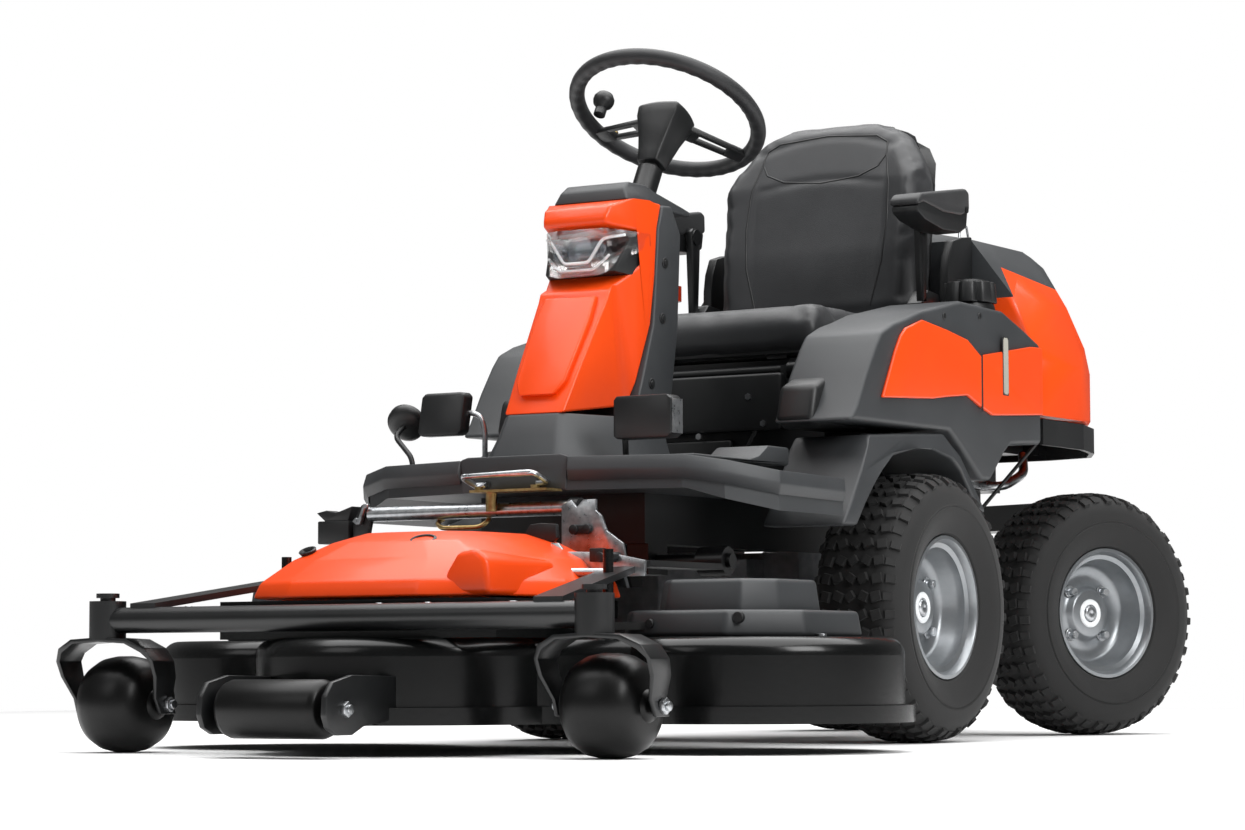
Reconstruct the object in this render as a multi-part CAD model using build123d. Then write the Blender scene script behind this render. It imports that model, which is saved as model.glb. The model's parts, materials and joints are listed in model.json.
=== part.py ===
from build123d import *

import os
from math import cos, sin, radians

# Riding lawn mower with a front-mounted three-blade deck and rear-wheel steering.
# Millimetres. X points to the operator's left, -Y is the front, Z is up. The modelling
# origin lies on the ground below the front axle; write_parts() moves every piece so
# that the finished origin is the middle of the machine's footprint.

# ---- Wheels and axles -------------------------------------------------------------
tyre_radius = 231.5
tyre_half_width = 86.0
tread_half_width = 50.0
rim_radius = 118.0
rim_half_width = 66.0
rim_wall = 4.0
rim_lip = 5.0
hub_radius = 42.0
hub_inner_reach = 50.0
hub_outer_reach = 20.0
stub_radius = 17.5
bolt_circle_radius = 29.0
wheel_bolt_radius = 7.0
bead_clearance = 0.3
wheelbase = 900.0
wheel_offset = 355.0
axle_height = tyre_radius
axle_section = 85.0
portal_low = 396.0
portal_high = 446.0
portal_beam_reach = 256.0
portal_leg_width = 50.0
portal_depth = 80.0
axle_end_gap = 5.0
steer_at_rest = -22.0
stub_tip = wheel_offset + hub_outer_reach - 6.0
running_clearance = 0.05
seat_gap = 0.3

# ---- Main frame -------------------------------------------------------------------
rail_inner = 120.0
rail_width = 40.0
rail_low = 330.0
rail_front = -560.0
rail_rear = 868.0
rail_kick_front = 240.0
rail_kick_rear = 360.0
rail_high = 548.0
rear_rail_depth = 42.0
kingpin_radius = 20.0
pivot_low = 482.0
pivot_high = 534.0
pivot_half_width = 58.0
pivot_rear = 955.0
tow_bore_radius = 8.5
tow_lug_reach = 60.0
tow_lug_thickness = 12.0
lift_pivot_y = -520.0
lift_pivot_z = 300.0
lift_shaft_radius = 12.0

# ---- Floor, fenders and side bodies -----------------------------------------------
body_half_width = 392.0
floor_top = 440.0
floor_thickness = 28.0
floor_low = floor_top - floor_thickness
floor_drop = 35.0
floor_front = -700.0
floor_rear = -100.0
floor_side_rear = -331.0
floor_half_width = 400.0
fender_inner = 245.0
fender_outer = 400.0
side_wall = 8.0
side_inner = 240.0
panel_thickness = 6.0
bumper_low = 537.0
bumper_high = 585.0
bumper_wall = 8.0
body_rear = 917.0
body_split = 458.0

# ---- Hood and engine --------------------------------------------------------------
hood_wall = 6.0
hood_low = 592.0
hood_high = 958.0
hood_front = 442.0
hood_rear = 905.0
hood_hinge_y = 893.0
hood_hinge_z = 600.0
hinge_pin_radius = 5.0

# ---- Console and steering ---------------------------------------------------------
console_half_width = 98.0
console_wall = 6.0
lamp_half_width = 80.0
lamp_low = 776.0
lamp_high = 850.0
column_tilt = 28.8
wheel_centre_y = -221.0
wheel_centre_z = 1092.0
steering_radius = 163.0
steering_grip_radius = 15.0
column_radius = 22.0
steering_shaft_radius = 12.0
column_length = 420.0
hub_drop = 118.0
knob_angle = 182.0
spoke_middle = 112.0
spoke_spread = 56.0
knob_inset = 22.0
knob_boss_radius = 11.0
knob_pin_radius = 4.0

# ---- Seat -------------------------------------------------------------------------
seat_half_width = 236.0
seat_plate_low = 655.0
seat_plate_thickness = 12.0
seat_front = -110.0
cushion_rear = 300.0
seat_pivot_y = -80.0
seat_pivot_z = 648.0
seat_box_top = 630.0
seat_pin_radius = 8.0
cushion_thickness = 85.0
back_half_width = 214.0
back_thickness = 95.0
seat_top = 1172.0
arm_post_inner = 234.0
arm_post_outer = 250.0
arm_post_low = 790.0
arm_pivot_y = 270.0
arm_pivot_z = 945.0
arm_pin_radius = 6.0

# ---- Deck -------------------------------------------------------------------------
deck_top = 175.0
deck_low = 58.0
deck_wall = 5.0
lobe_radius = 240.0
lobe_web_radius = 150.0
centre_spindle_y = -976.0
side_spindle_x = 425.0
side_spindle_y = -688.0
deck_edge_fillet = 28.0
pulley_box_width = 512.0
pulley_box_front = -1128.0
pulley_box_rear = -796.0
pulley_box_top = 232.0
rail_bar = 26.0
rail_bar_low = 46.0
blade_length = 460.0
blade_width = 55.0
blade_thickness = 6.0
blade_height = 72.0
spindle_radius = 12.5
spindle_boss_radius = 38.0
pulley_radius = 60.0
belt_width = 9.0
belt_low = 187.0
belt_height = 11.0
roller_radius = 43.0
roller_half_length = 90.0
roller_y = -1310.0
roller_z = 71.0
roller_pin_radius = 8.0

# ---- Lift frame and casters -------------------------------------------------------
front_bar_y = -1165.0
front_bar_z = 205.0
front_bar_radius = 20.0
caster_x = 449.0
housing_radius = 28.5
housing_low = 175.0
housing_high = 235.0
caster_stem_radius = 12.0
caster_wheel_radius = 75.0
caster_wheel_half_width = 63.0
caster_trail = 45.0
fork_strip = 6.0
fork_depth = 56.0
caster_pin_radius = 6.0
arm_strip_width = 50.0
arm_strip_thickness = 10.0
arm_foot_x = 374.0
arm_rear_x = 268.0
arm_knee_y = -760.0
arm_rear_z = 290.0
hanger_y = -900.0
hanger_radius = 8.0

# ---- Pedals -----------------------------------------------------------------------
pedal_pin_radius = 5.0
pedal_boss_radius = 10.0
pedal_rod_radius = 7.0
pedal_pivot_z = 454.0

LOW = (Align.CENTER, Align.CENTER, Align.MIN)


def block(x0, x1, y0, y1, z0, z1):
    """Rectangular block between two corners."""
    middle = Pos((x0 + x1) / 2, (y0 + y1) / 2, (z0 + z1) / 2)
    return middle * Box(abs(x1 - x0), abs(y1 - y0), abs(z1 - z0))


def rod(start, end, radius):
    """Round bar between two points."""
    start, end = Vector(*start), Vector(*end)
    return Plane(origin=start, z_dir=end - start) * Cylinder(radius, (end - start).length, align=LOW)


def side_plate(points, x0, x1, corner=0.0):
    """Plate whose outline is drawn in the Y-Z plane, reaching from x0 to x1."""
    face = make_face(Polyline(*points, close=True))
    if corner:
        face = fillet(face.vertices(), corner)
    return Pos(min(x0, x1), 0, 0) * extrude(Plane.YZ * face, amount=abs(x1 - x0))


def plan_plate(points, z0, z1, corner=0.0):
    """Plate whose outline is drawn in the X-Y plane, reaching from z0 to z1."""
    face = make_face(Polyline(*points, close=True))
    if corner:
        face = fillet(face.vertices(), corner)
    return Pos(0, 0, z0) * extrude(face, amount=z1 - z0)


def front_plate(points, y0, y1, corner=0.0):
    """Plate whose outline is drawn in the X-Z plane, reaching from y0 to y1."""
    face = make_face(Polyline(*points, close=True))
    if corner:
        face = fillet(face.vertices(), corner)
    return Pos(0, y1, 0) * extrude(Plane.XZ * face, amount=y1 - y0)


def inset(points, amount):
    """Outline moved inwards by an amount, as a face."""
    return offset(make_face(Polyline(*points, close=True)), -amount, kind=Kind.INTERSECTION)


def bent_rod(points, radius, bend):
    """Round bar along straight runs joined by bends."""
    path = FilletPolyline(*points, radius=bend)
    return sweep(Plane(origin=path @ 0, z_dir=path % 0) * Circle(radius), path=path)


def other_side(piece):
    """The same piece on the machine's other side."""
    return mirror(piece, about=Plane.YZ)


# ---- Running gear -----------------------------------------------------------------

def wheel_rim():
    """Pressed-steel rim with its hub and four bolts; the outer side faces +X."""
    r, w, t = rim_radius, rim_half_width, rim_wall
    barrel = [(-w, r + rim_lip), (-w, r - t), (-w + 20, r - t - 8), (-4, r - t - 8), (-4, hub_radius),
              (2, hub_radius), (2, r - t - 14), (w - 22, r - t - 8), (w, r - t), (w, r + rim_lip),
              (w - t, r + rim_lip), (w - t, r), (-w + t, r), (-w + t, r + rim_lip)]
    rim = revolve(Plane.XY * make_face(Polyline(*barrel, close=True)), axis=Axis.X)
    rim += rod((-hub_inner_reach, 0, 0), (hub_outer_reach, 0, 0), hub_radius)
    rim -= rod((-hub_inner_reach - 1, 0, 0), (hub_outer_reach - 4, 0, 0), stub_radius + running_clearance)
    bolts = []
    for turn in range(4):
        angle = radians(90 * turn + 45)
        y, z = bolt_circle_radius * cos(angle), bolt_circle_radius * sin(angle)
        bolts.append(rod((hub_outer_reach, y, z), (hub_outer_reach + 9, y, z), wheel_bolt_radius))
    return [rim] + bolts


def tyre():
    """Low-pressure turf tyre, with a rounded shoulder."""
    inner = rim_radius + bead_clearance
    bead = rim_half_width - rim_wall - bead_clearance
    half = [(bead, inner), (bead, rim_radius + rim_lip + bead_clearance), (bead + 9, inner + 18),
            (tyre_half_width, inner + 46),
            (tyre_half_width - 6, tyre_radius - 42), (tread_half_width + 18, tyre_radius - 10),
            (tread_half_width, tyre_radius)]
    outline = half + [(-x, r) for x, r in reversed(half)]
    return [revolve(Plane.XY * make_face(Polyline(*outline, close=True)), axis=Axis.X)]


def place_wheel(pieces, side, axle_y, turn):
    """Put wheel pieces on an axle end; side is +1 on the left and -1 on the right."""
    spot = Pos(0, axle_y, 0) * Rot(0, 0, turn) * Pos(side * wheel_offset, 0, axle_height)
    spot = spot * Rot(0, 0, 0 if side > 0 else 180)
    return [spot * piece for piece in pieces]


def front_axle():
    """Front axle with stub shafts, its hydrostatic transaxle and the saddle below the rails."""
    half = axle_section / 2
    reach = wheel_offset - hub_inner_reach - axle_end_gap
    bar = block(-reach, reach, -half, half, axle_height - half, axle_height + half)
    bar += rod((-stub_tip, 0, axle_height), (stub_tip, 0, axle_height), stub_radius)
    saddle_reach = rail_inner + rail_width
    case = block(-90, 90, -110, 110, axle_height - 60, rail_low - 12)
    saddle = block(-saddle_reach, saddle_reach, -50, 50, axle_height, rail_low)
    return bar + case + saddle


def rear_axle():
    """Steered portal axle: a high beam, a leg at each end, stub shafts and the king pin."""
    reach, half = portal_beam_reach, portal_depth / 2
    beam = block(-reach, reach, -half, half, portal_low, portal_high)
    for side in (-1, 1):
        leg = block(reach - portal_leg_width, reach, -half, half, axle_height - 45, portal_high)
        leg += rod((reach - portal_leg_width, 0, axle_height), (stub_tip, 0, axle_height), stub_radius)
        beam += leg if side > 0 else other_side(leg)
    beam += Pos(0, 0, portal_low) * Cylinder(45, pivot_low - seat_gap - portal_low, align=LOW)
    beam += rod((0, 0, portal_low), (0, 0, pivot_high - 2), kingpin_radius)
    return Pos(0, wheelbase, 0) * Rot(0, 0, steer_at_rest) * beam


def main_frame():
    """Two cranked rails, cross members, the lift shaft, the steering pivot and the tow lug."""
    side = [(rail_front, rail_low), (rail_kick_front, rail_low), (rail_kick_rear, rail_high),
            (rail_rear, rail_high), (rail_rear, rail_high + rear_rail_depth),
            (rail_kick_rear - 30, rail_high + rear_rail_depth), (rail_kick_front - 30, floor_low),
            (rail_front, floor_low)]
    rail = side_plate(side, rail_inner, rail_inner + rail_width)
    frame = rail + other_side(rail)
    high = rail_high + rear_rail_depth
    for y0, y1, z0, z1 in ((rail_front, rail_front + 40, rail_low, floor_low),
                           (-150, -110, rail_low, floor_low),
                           (wheelbase - 60, rail_rear, rail_high, high),
                           (rail_kick_rear, rail_kick_rear + 40, rail_high, high)):
        frame += block(-rail_inner - 2, rail_inner + 2, y0, y1, z0, z1)
    w = pivot_half_width
    frame += block(-w, w, wheelbase - 190, rail_rear, pivot_low, rail_high)
    frame += block(-w, w, rail_kick_rear, wheelbase - 100, rail_high - 20, rail_high)
    frame += block(-w, w, rail_rear - 10, pivot_rear, pivot_low, pivot_high)
    frame -= rod((0, wheelbase, pivot_low - 1), (0, wheelbase, pivot_high + 1),
                 kingpin_radius + running_clearance)
    for x in (-rail_inner - rail_width, rail_inner):
        frame += block(x, x + rail_width, lift_pivot_y - 30, lift_pivot_y + 30, lift_pivot_z - 20, rail_low)
    reach = arm_rear_x + arm_strip_width / 2 + 8
    frame += rod((-reach, lift_pivot_y, lift_pivot_z), (reach, lift_pivot_y, lift_pivot_z), lift_shaft_radius)
    lug_end = pivot_rear + tow_lug_reach
    lug = block(-38, 38, pivot_rear - 2, lug_end, pivot_low, pivot_low + tow_lug_thickness)
    lug -= rod((0, lug_end - 25, pivot_low - 1), (0, lug_end - 25, pivot_low + tow_lug_thickness + 1),
               tow_bore_radius)
    return frame + lug


# ---- Floor, fenders and bodywork --------------------------------------------------

def pedal_posts():
    """Where each pedal's pivot stands on the floor: name, x, y."""
    return (("pedal_brake", 150.0, -600.0), ("pedal_reverse", -180.0, -520.0),
            ("pedal_forward", -300.0, -560.0))


def floor_platform():
    """Floor plate with dropped outer edges and the ears that carry the pedals."""
    top, t, w, drop = floor_top, floor_thickness, floor_half_width, floor_drop
    section = [(-w, top - drop), (-290, top), (290, top), (w, top - drop), (w, top - drop - t),
               (290, top - t), (-290, top - t), (-w, top - drop - t)]
    inner = fender_inner - seat_gap
    side = [(inner, floor_rear), (inner, floor_side_rear), (w, floor_side_rear), (w, -545), (345, -620),
            (285, -650), (100, floor_front)]
    outline = side + [(-x, y) for x, y in reversed(side)]
    floor = front_plate(section, floor_front - 20, floor_rear)
    floor = floor & plan_plate(outline, top - 80, top + 10)
    for _, x, y in pedal_posts():
        for ear_x in (x - 22, x + 13):
            floor += block(ear_x, ear_x + 9, y - 13, y + 13, top - 25, pedal_pivot_z + 12)
        floor -= rod((x - 23, y, pedal_pivot_z), (x + 23, y, pedal_pivot_z),
                     pedal_pin_radius + running_clearance)
    return floor


def fender_left():
    """Arched fender over the left front wheel."""
    outer = [(-330, 360), (-216, 517), (62, 535), (206, 402), (176, 402), (104, 470), (20, 505), (-70, 500),
             (-148, 484), (-219, 430), (-280, 360)]
    arch = side_plate(outer, fender_inner, fender_outer)
    return arch + block(300, 340, -70, -30, 505, 538.4)


side_outline = [(-286, 537), (-228, 624), (-176, 695), (-84, 724), (30, 753), (129, 774), (300, 771),
                (body_split, 721), (body_split, 537), (325, 530), (241, 460), (205, 460), (80, 540)]
filler_y = 271.0
filler_x = 338.0
filler_radius = 30.0
tank_top = 730.0
pto_x = 322.0


def shell_top(y):
    """Height of a side body's top edge behind the fuel filler."""
    (y0, z0), (y1, z1) = side_outline[6], side_outline[7]
    return z0 + (y - y0) * (z1 - z0) / (y1 - y0)


def side_shell():
    """Left side body: an outer wall with a return all round, open to the inside."""
    shell = side_plate(side_outline, side_inner, body_half_width)
    cavity = Pos(side_inner - 1, 0, 0) * extrude(Plane.YZ * inset(side_outline, side_wall),
                                                 amount=body_half_width - side_wall - side_inner + 1)
    return shell - cavity


def side_frame_left():
    """Left side body with the hole for the fuel filler."""
    hole = rod((filler_x, filler_y, tank_top), (filler_x, filler_y, 800), filler_radius + seat_gap)
    return side_shell() - hole


def side_frame_right():
    """Right side body with the raised pod that carries the blade switch."""
    pod = side_plate([(285, 740), (285, 832), (365, 832), (365, 730)], -352, -292)
    body = other_side(side_shell()) + pod
    return body - rod((-pto_x, 325, 790), (-pto_x, 325, 833), 7 + running_clearance)


def side_panel(side):
    """Coloured panel on the outside of a side body."""
    outline = [(-182, 580), (-133, 665), (-96, 705), (-32, 725), (142, 706), (193, 680), (402, 713),
               (body_split - 6, 716), (body_split - 6, 590), (411, 587), (239, 576), (140, 607), (3, 591)]
    panel = side_plate(outline, body_half_width, body_half_width + panel_thickness)
    panel -= block(body_half_width - 1, body_half_width + panel_thickness + 1, 288, 306, 616, 686)
    return panel if side > 0 else other_side(panel)


def fuel_tank():
    """Tank inside the left side body with its filler neck."""
    tank = block(side_inner + 12, body_half_width - side_wall - 1, 60, 315, 562, tank_top)
    return tank + rod((filler_x, filler_y, tank_top - 2), (filler_x, filler_y, 798), filler_radius)


def fuel_cap():
    """Lobed screw cap on the filler neck."""
    cap = rod((filler_x, filler_y, 778), (filler_x, filler_y, 826), 50)
    for turn in range(8):
        angle = radians(45 * turn)
        x, y = filler_x + 56 * cos(angle), filler_y + 56 * sin(angle)
        cap -= rod((x, y, 777), (x, y, 827), 11)
    return cap - rod((filler_x, filler_y, 777), (filler_x, filler_y, 800), filler_radius + running_clearance)


body_plan = [(-393, body_split + 2), (-393, 640), (-362, 757), (-306, 868), (-200, 906), (0, body_rear),
             (200, 906), (306, 868), (362, 757), (393, 640), (393, body_split + 2)]


def rear_bumper():
    """Band round the rear of the body, with the ears of the hood hinge."""
    ring = plan_plate(body_plan, bumper_low, bumper_high)
    inner = [(x * 0.98, y - bumper_wall if y > 700 else y - 3) for x, y in body_plan]
    ring -= plan_plate(inner, bumper_low - 1, bumper_high + 1)
    for side in (-1, 1):
        x0, x1 = sorted((side * 172, side * 180))
        ring += block(x0, x1, hood_hinge_y - 8, body_rear - 11, 548, 578)
        ring += block(x0, x1, hood_hinge_y - 8, hood_hinge_y + 5, 570, hood_hinge_z + 8)
        ring += rod((side * 143, hood_hinge_y, hood_hinge_z), (side * 180, hood_hinge_y, hood_hinge_z),
                    hinge_pin_radius)
    for side in (-1, 1):
        x0, x1 = sorted((side * (rail_inner + rail_width), side * 388))
        ring += block(x0, x1, 520, 560, rail_high + 2, rail_high + 10)
    return ring


def hood_block(wall):
    """Hood form: plan, side and front silhouettes cut from one block, moved inwards by a wall."""
    plan = [(-388, 400), (-388, 640), (-355, 757), (-300, 866), (-190, hood_rear - 5), (0, hood_rear),
            (190, hood_rear - 5), (300, 866), (355, 757), (388, 640), (388, 400)]
    step = body_split + 2
    side = [(step, hood_low), (step, 728), (hood_front, 736), (hood_front, 925), (500, 950),
            (590, hood_high), (690, 915), (790, 835), (865, 740), (hood_rear, 640), (hood_rear, hood_low)]
    front = [(-388, hood_low), (-388, 692), (-345, 812), (-258, 925), (-120, hood_high), (120, hood_high),
             (258, 925), (345, 812), (388, 692), (388, hood_low)]
    form = Pos(0, 0, hood_low) * extrude(inset(plan, wall), amount=400)
    form &= Pos(-400, 0, 0) * extrude(Plane.YZ * inset(side, wall), amount=800)
    form &= Pos(0, 920, 0) * extrude(Plane.XZ * inset(front, wall), amount=500)
    for side_sign in (-1, 1):
        lean = Vector(side_sign * 0.85, 0.53, 0.42).normalized()
        shoulder = Vector(side_sign * 355, 757, 690) - lean * wall
        form -= Plane(origin=shoulder, z_dir=lean) * Box(1500, 1500, 300, align=LOW)
    return form


def hood():
    """Engine hood, open below, with two hinge knuckles at the lower rear edge."""
    cavity = hood_block(hood_wall)
    floor_open = block(-360, 360, body_split + 8, 884, hood_low - 5, hood_low + hood_wall + 1)
    shell = hood_block(0) - cavity - floor_open
    for side in (-1, 1):
        x0, x1 = sorted((side * 142, side * 171))
        knuckle = rod((x0, hood_hinge_y, hood_hinge_z), (x1, hood_hinge_y, hood_hinge_z), 8.5)
        knuckle += block(x0, x1, hood_hinge_y - 6, hood_rear - 12, hood_hinge_z, hood_hinge_z + 26)
        knuckle += block(x0, x1, hood_hinge_y - 6, hood_rear - 4, hood_hinge_z + 12, hood_hinge_z + 26)
        shell += knuckle
        shell -= rod((x0 - 1, hood_hinge_y, hood_hinge_z), (x1 + 1, hood_hinge_y, hood_hinge_z),
                     hinge_pin_radius + running_clearance)
        a, b = sorted((side * 171, side * 182))
        shell -= block(a, b, hood_hinge_y - 10, hood_rear + 2, hood_low - 1, hood_hinge_z + 14)
    return shell


def air_grille():
    """Cheek on each side of the seat back that draws in cooling air."""
    front, rear = 338, hood_front - seat_gap
    outline = [(front, shell_top(front) + seat_gap), (front + 2, 880), (362, 915), (rear, 930),
               (rear, shell_top(rear) + seat_gap)]
    cheek = side_plate(outline, side_inner + 2, 268)
    return [cheek, other_side(cheek)]


def engine():
    """Twin-cylinder engine standing on the rails."""
    top = rail_high + rear_rail_depth
    crankcase = block(-150, 150, 494, 740, top, top + 120)
    shroud = Pos(0, 626, top + 119) * Cylinder(88, 88, align=LOW)
    body = crankcase + shroud
    for side in (-1, 1):
        head = Pos(side * 165, 620, top + 110) * Rot(0, side * 40, 0) * Box(90, 110, 150)
        body += head
    return body


def muffler():
    """Muffler across the rear of the engine bay with its pipe."""
    y, z = 806, rail_high + rear_rail_depth + 48
    body = rod((-130, y, z), (130, y, z), 44)
    return body + rod((60, 740.3, z), (60, y, z), 14)


def seat_box():
    """Box below the seat with the battery tray and the pin of the seat hinge."""
    x, y0, y1, z0, z1, t = side_inner - seat_gap, -98.0, 262.0, floor_low, seat_box_top, 6.0
    box = block(-x, x, y0, y1, z0, z1) - block(-x + t, x - t, y0 + t, y1 + 1, z0 + t, z1 - t)
    box -= block(-rail_inner - rail_width - 1, rail_inner + rail_width + 1, 200, y1 + 1, z0 - 1, z0 + 190)
    for side in (-1, 1):
        x0, x1 = sorted((side * 150, side * 162))
        box += block(x0, x1, seat_pivot_y - 12, seat_pivot_y + 12, z1 - 1, seat_pivot_z + 6)
        box += block(x0, x1, 225, 255, z1 - 1, seat_plate_low - seat_gap)
    return box + rod((-184, seat_pivot_y, seat_pivot_z), (184, seat_pivot_y, seat_pivot_z), seat_pin_radius)


def battery():
    """Starter battery in the box below the seat."""
    case = block(-95, 95, -60, 110, floor_low + 6, 560)
    for x in (-60, 60):
        case += rod((x, 0, 560), (x, 0, 576), 9)
    return case


# ---- Console and steering ---------------------------------------------------------

def column_point(drop):
    """Point on the steering axis, a distance below the wheel's centre."""
    tilt = radians(column_tilt)
    return (0, wheel_centre_y - drop * sin(tilt), wheel_centre_z - drop * cos(tilt))


console_plans = ((540.0, [(-57, -700), (-57, -645), (-80, -505), (-98, -440), (-98, -300)]),
                 (736.0, [(-69, -700), (-69, -527), (-90, -445), (-98, -412), (-98, -300)]),
                 (736.0, [(-60, -700), (-60, -523), (-82, -470), (-98, -430), (-98, -300)]),
                 (912.0, [(-60, -700), (-60, -523), (-82, -470), (-98, -430), (-98, -300)]))


def console_form(shrink):
    """Narrow-nosed column that bounds the console in plan; it widens towards the driver."""
    form = None
    for (z0, low), (z1, high) in (console_plans[:2], console_plans[2:]):
        faces = []
        for z, half in ((z0, low), (z1, high)):
            outline = half + [(-x, y) for x, y in reversed(half)]
            faces.append(Pos(0, 0, z) * inset(outline, shrink))
        piece = loft(faces, ruled=True)
        form = piece if form is None else form + piece
    return form


def console_outline():
    """Side outlines of the console: the front shell and the rear trim meet on one line."""
    split = [(-448, 545), (-440, 700), (-425, 860), (-400, 905)]
    shell = [(-645, 541), (-617, 590), (-599, 620), (-527, 735), (-522, 752), (-500, 764), (-478, 776),
             (-478, 852), (-526, 866), (-519, 888), (-468, 908)]
    trim = [(-372, 905), (-340, 860), (-352, 700), (-372, 545)]
    return split, shell, trim


def console_shell():
    """Front shell of the console, with the lamp recess below its visor."""
    split, front, _ = console_outline()
    outline = front + [split[3], split[2], split[1], split[0]]
    w, t = console_half_width, console_wall
    shell = side_plate(outline, -w, w) & console_form(0)
    cavity = [(-634, 535), (-609, 592), (-591, 622), (-519, 737), (-515, 746), (-470 + t, 760),
              (-470 + t, 852), (-510 + t, 868), (-480, 892), (-380, 892), (-380, 530)]
    shell -= side_plate(cavity, -w, w) & console_form(t)
    return shell - block(-lamp_half_width, lamp_half_width, -600, -460, lamp_low, lamp_high)


def foot_level(z, half, shrink):
    """Plan of the console's foot at one height."""
    outline = half + [(-x, y) for x, y in reversed(half)]
    return Pos(0, 0, z) * inset(outline, shrink)


def console_base():
    """Flared foot of the console and the trim behind its front shell."""
    split, _, rear = console_outline()
    foot_low = [(-74, -690), (-118, -590), (-118, -402)]
    foot_high = [(-57, -645), (-84, -500), (-99, -410)]
    top = 539.7
    foot = loft([foot_level(floor_top, foot_low, 0), foot_level(top, foot_high, 0)], ruled=True)
    foot -= loft([foot_level(floor_top - 1, foot_low, 8), foot_level(top + 4, foot_high, 8)], ruled=True)
    w, t = console_half_width + 4, console_wall
    trim = side_plate(split + rear, -w, w)
    hollow = [(-500, 530), (-500, 892), (-380, 892), (-352, 860), (-364, 700), (-384, 530)]
    trim -= side_plate(hollow, -w + t, w - t)
    base = foot + trim + block(-w, w, -446, -372, 530, 550) - block(-60, 60, -500, -385, 520, 560)
    return base - rod(column_point(60), column_point(column_length + 80), column_radius + seat_gap)


def console_cap():
    """Cap on top of the console, pierced by the steering column."""
    outline = [(-462, 908.3), (-455, 926), (-400, 938), (-300, 940), (-262, 928), (-290, 905.3),
               (-399, 905.3)]
    cap = side_plate(outline, -72, 72)
    return cap - rod(column_point(60), column_point(300), column_radius + seat_gap)


def headlight_unit():
    """Reflector housing in the console's recess."""
    w, z0, z1 = lamp_half_width - seat_gap, lamp_low + seat_gap, lamp_high - seat_gap
    return block(-w, w, -477, -430, z0, z1)


def headlight_lens():
    """Clear lens in front of the reflector."""
    outline = [(-487, 771.6), (-510, 777), (-519, 858), (-512, 857), (-503, 783), (-479, 776.1)]
    return side_plate(outline, -90, 90) & console_form(0)


def steering_column():
    """Fixed column tube with its lower bracket."""
    tube = rod(column_point(hub_drop + 4), column_point(column_length), column_radius)
    tube -= rod(column_point(hub_drop), column_point(column_length + 5),
                steering_shaft_radius + running_clearance)
    end = column_point(column_length)
    clamp = block(-92, 92, end[1] + 8, end[1] + 34, end[2] + 12, end[2] + 40)
    clamp -= rod(column_point(hub_drop), column_point(column_length + 60), column_radius - 1)
    return tube + clamp


def steering_wheel():
    """Rim, two dropped spokes, hub and shaft; the wheel faces up and back."""
    place = Plane(origin=column_point(0), x_dir=(1, 0, 0),
                  z_dir=(0, sin(radians(column_tilt)), cos(radians(column_tilt))))
    wheel = Torus(steering_radius, steering_grip_radius)
    hub_top = Cylinder(34, 34, align=(Align.CENTER, Align.CENTER, Align.MAX))
    hub_low = Pos(0, 0, -34) * Cone(24, 34, hub_drop - 34, align=(Align.CENTER, Align.CENTER, Align.MAX))
    wheel += hub_top + hub_low
    for angle in (spoke_middle - spoke_spread, spoke_middle + spoke_spread):
        arm = Rot(0, 0, angle) * Pos(steering_radius / 2 + 8, 0, -14) * Box(steering_radius - 18, 36, 12)
        wheel += arm
    wheel += Pos(0, 0, -hub_drop) * Cylinder(steering_shaft_radius, column_length - hub_drop - 40,
                                             align=(Align.CENTER, Align.CENTER, Align.MAX))
    boss = Pos(0, 0, -4) * Cylinder(knob_boss_radius, 19.7, align=LOW)
    boss -= Pos(0, 0, -10) * Cylinder(knob_pin_radius + running_clearance, 40, align=LOW)
    wheel += Rot(0, 0, knob_angle) * Pos(steering_radius - knob_inset, 0, 0) * boss
    return place * wheel


def spinner_knob():
    """Ball grip that turns on its own pin on the wheel's rim."""
    place = Plane(origin=column_point(0), x_dir=(1, 0, 0),
                  z_dir=(0, sin(radians(column_tilt)), cos(radians(column_tilt))))
    spot = Rot(0, 0, knob_angle) * Pos(steering_radius - knob_inset, 0, 16)
    knob = spot * Cylinder(11, 12, align=LOW) + spot * Pos(0, 0, 26) * Sphere(19)
    knob += spot * Pos(0, 0, -22) * Cylinder(knob_pin_radius, 25, align=LOW)
    return place * knob


# ---- Seat -------------------------------------------------------------------------

def seat_plate():
    """Swinging plate that carries the seat slides."""
    z0, t = seat_plate_low, seat_plate_thickness
    plate = block(-190, 190, -62, 300, z0, z0 + t)
    for side in (-1, 1):
        x0, x1 = sorted((side * 163, side * 183))
        lug = block(x0, x1, seat_pivot_y - 2, -40, seat_pivot_z - 2, z0 + t)
        lug += rod((x0, seat_pivot_y, seat_pivot_z), (x1, seat_pivot_y, seat_pivot_z), 15)
        plate += lug
        plate -= rod((x0 - 1, seat_pivot_y, seat_pivot_z), (x1 + 1, seat_pivot_y, seat_pivot_z),
                     seat_pin_radius + running_clearance)
        a, b = sorted((side * 120, side * 140))
        plate += block(a, b, -50, 290, z0 + t - 1, z0 + t + 8)
    return plate


seat_low = seat_plate_low + seat_plate_thickness + 8 + seat_gap


def seat_cushion():
    """Seat cushion, rounded at the front."""
    z0, z1 = seat_low, seat_low + cushion_thickness
    outline = [(seat_front + 20, z0), (seat_front, z0 + 22), (seat_front + 4, z1 - 32),
               (seat_front + 40, z1 - 4), (40, z1), (cushion_rear, z1 - 6), (cushion_rear, z0)]
    pad = side_plate(outline, -seat_half_width, seat_half_width)
    return fillet(pad.edges().filter_by(Axis.Z), 20) if pad.edges().filter_by(Axis.Z) else pad


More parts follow.
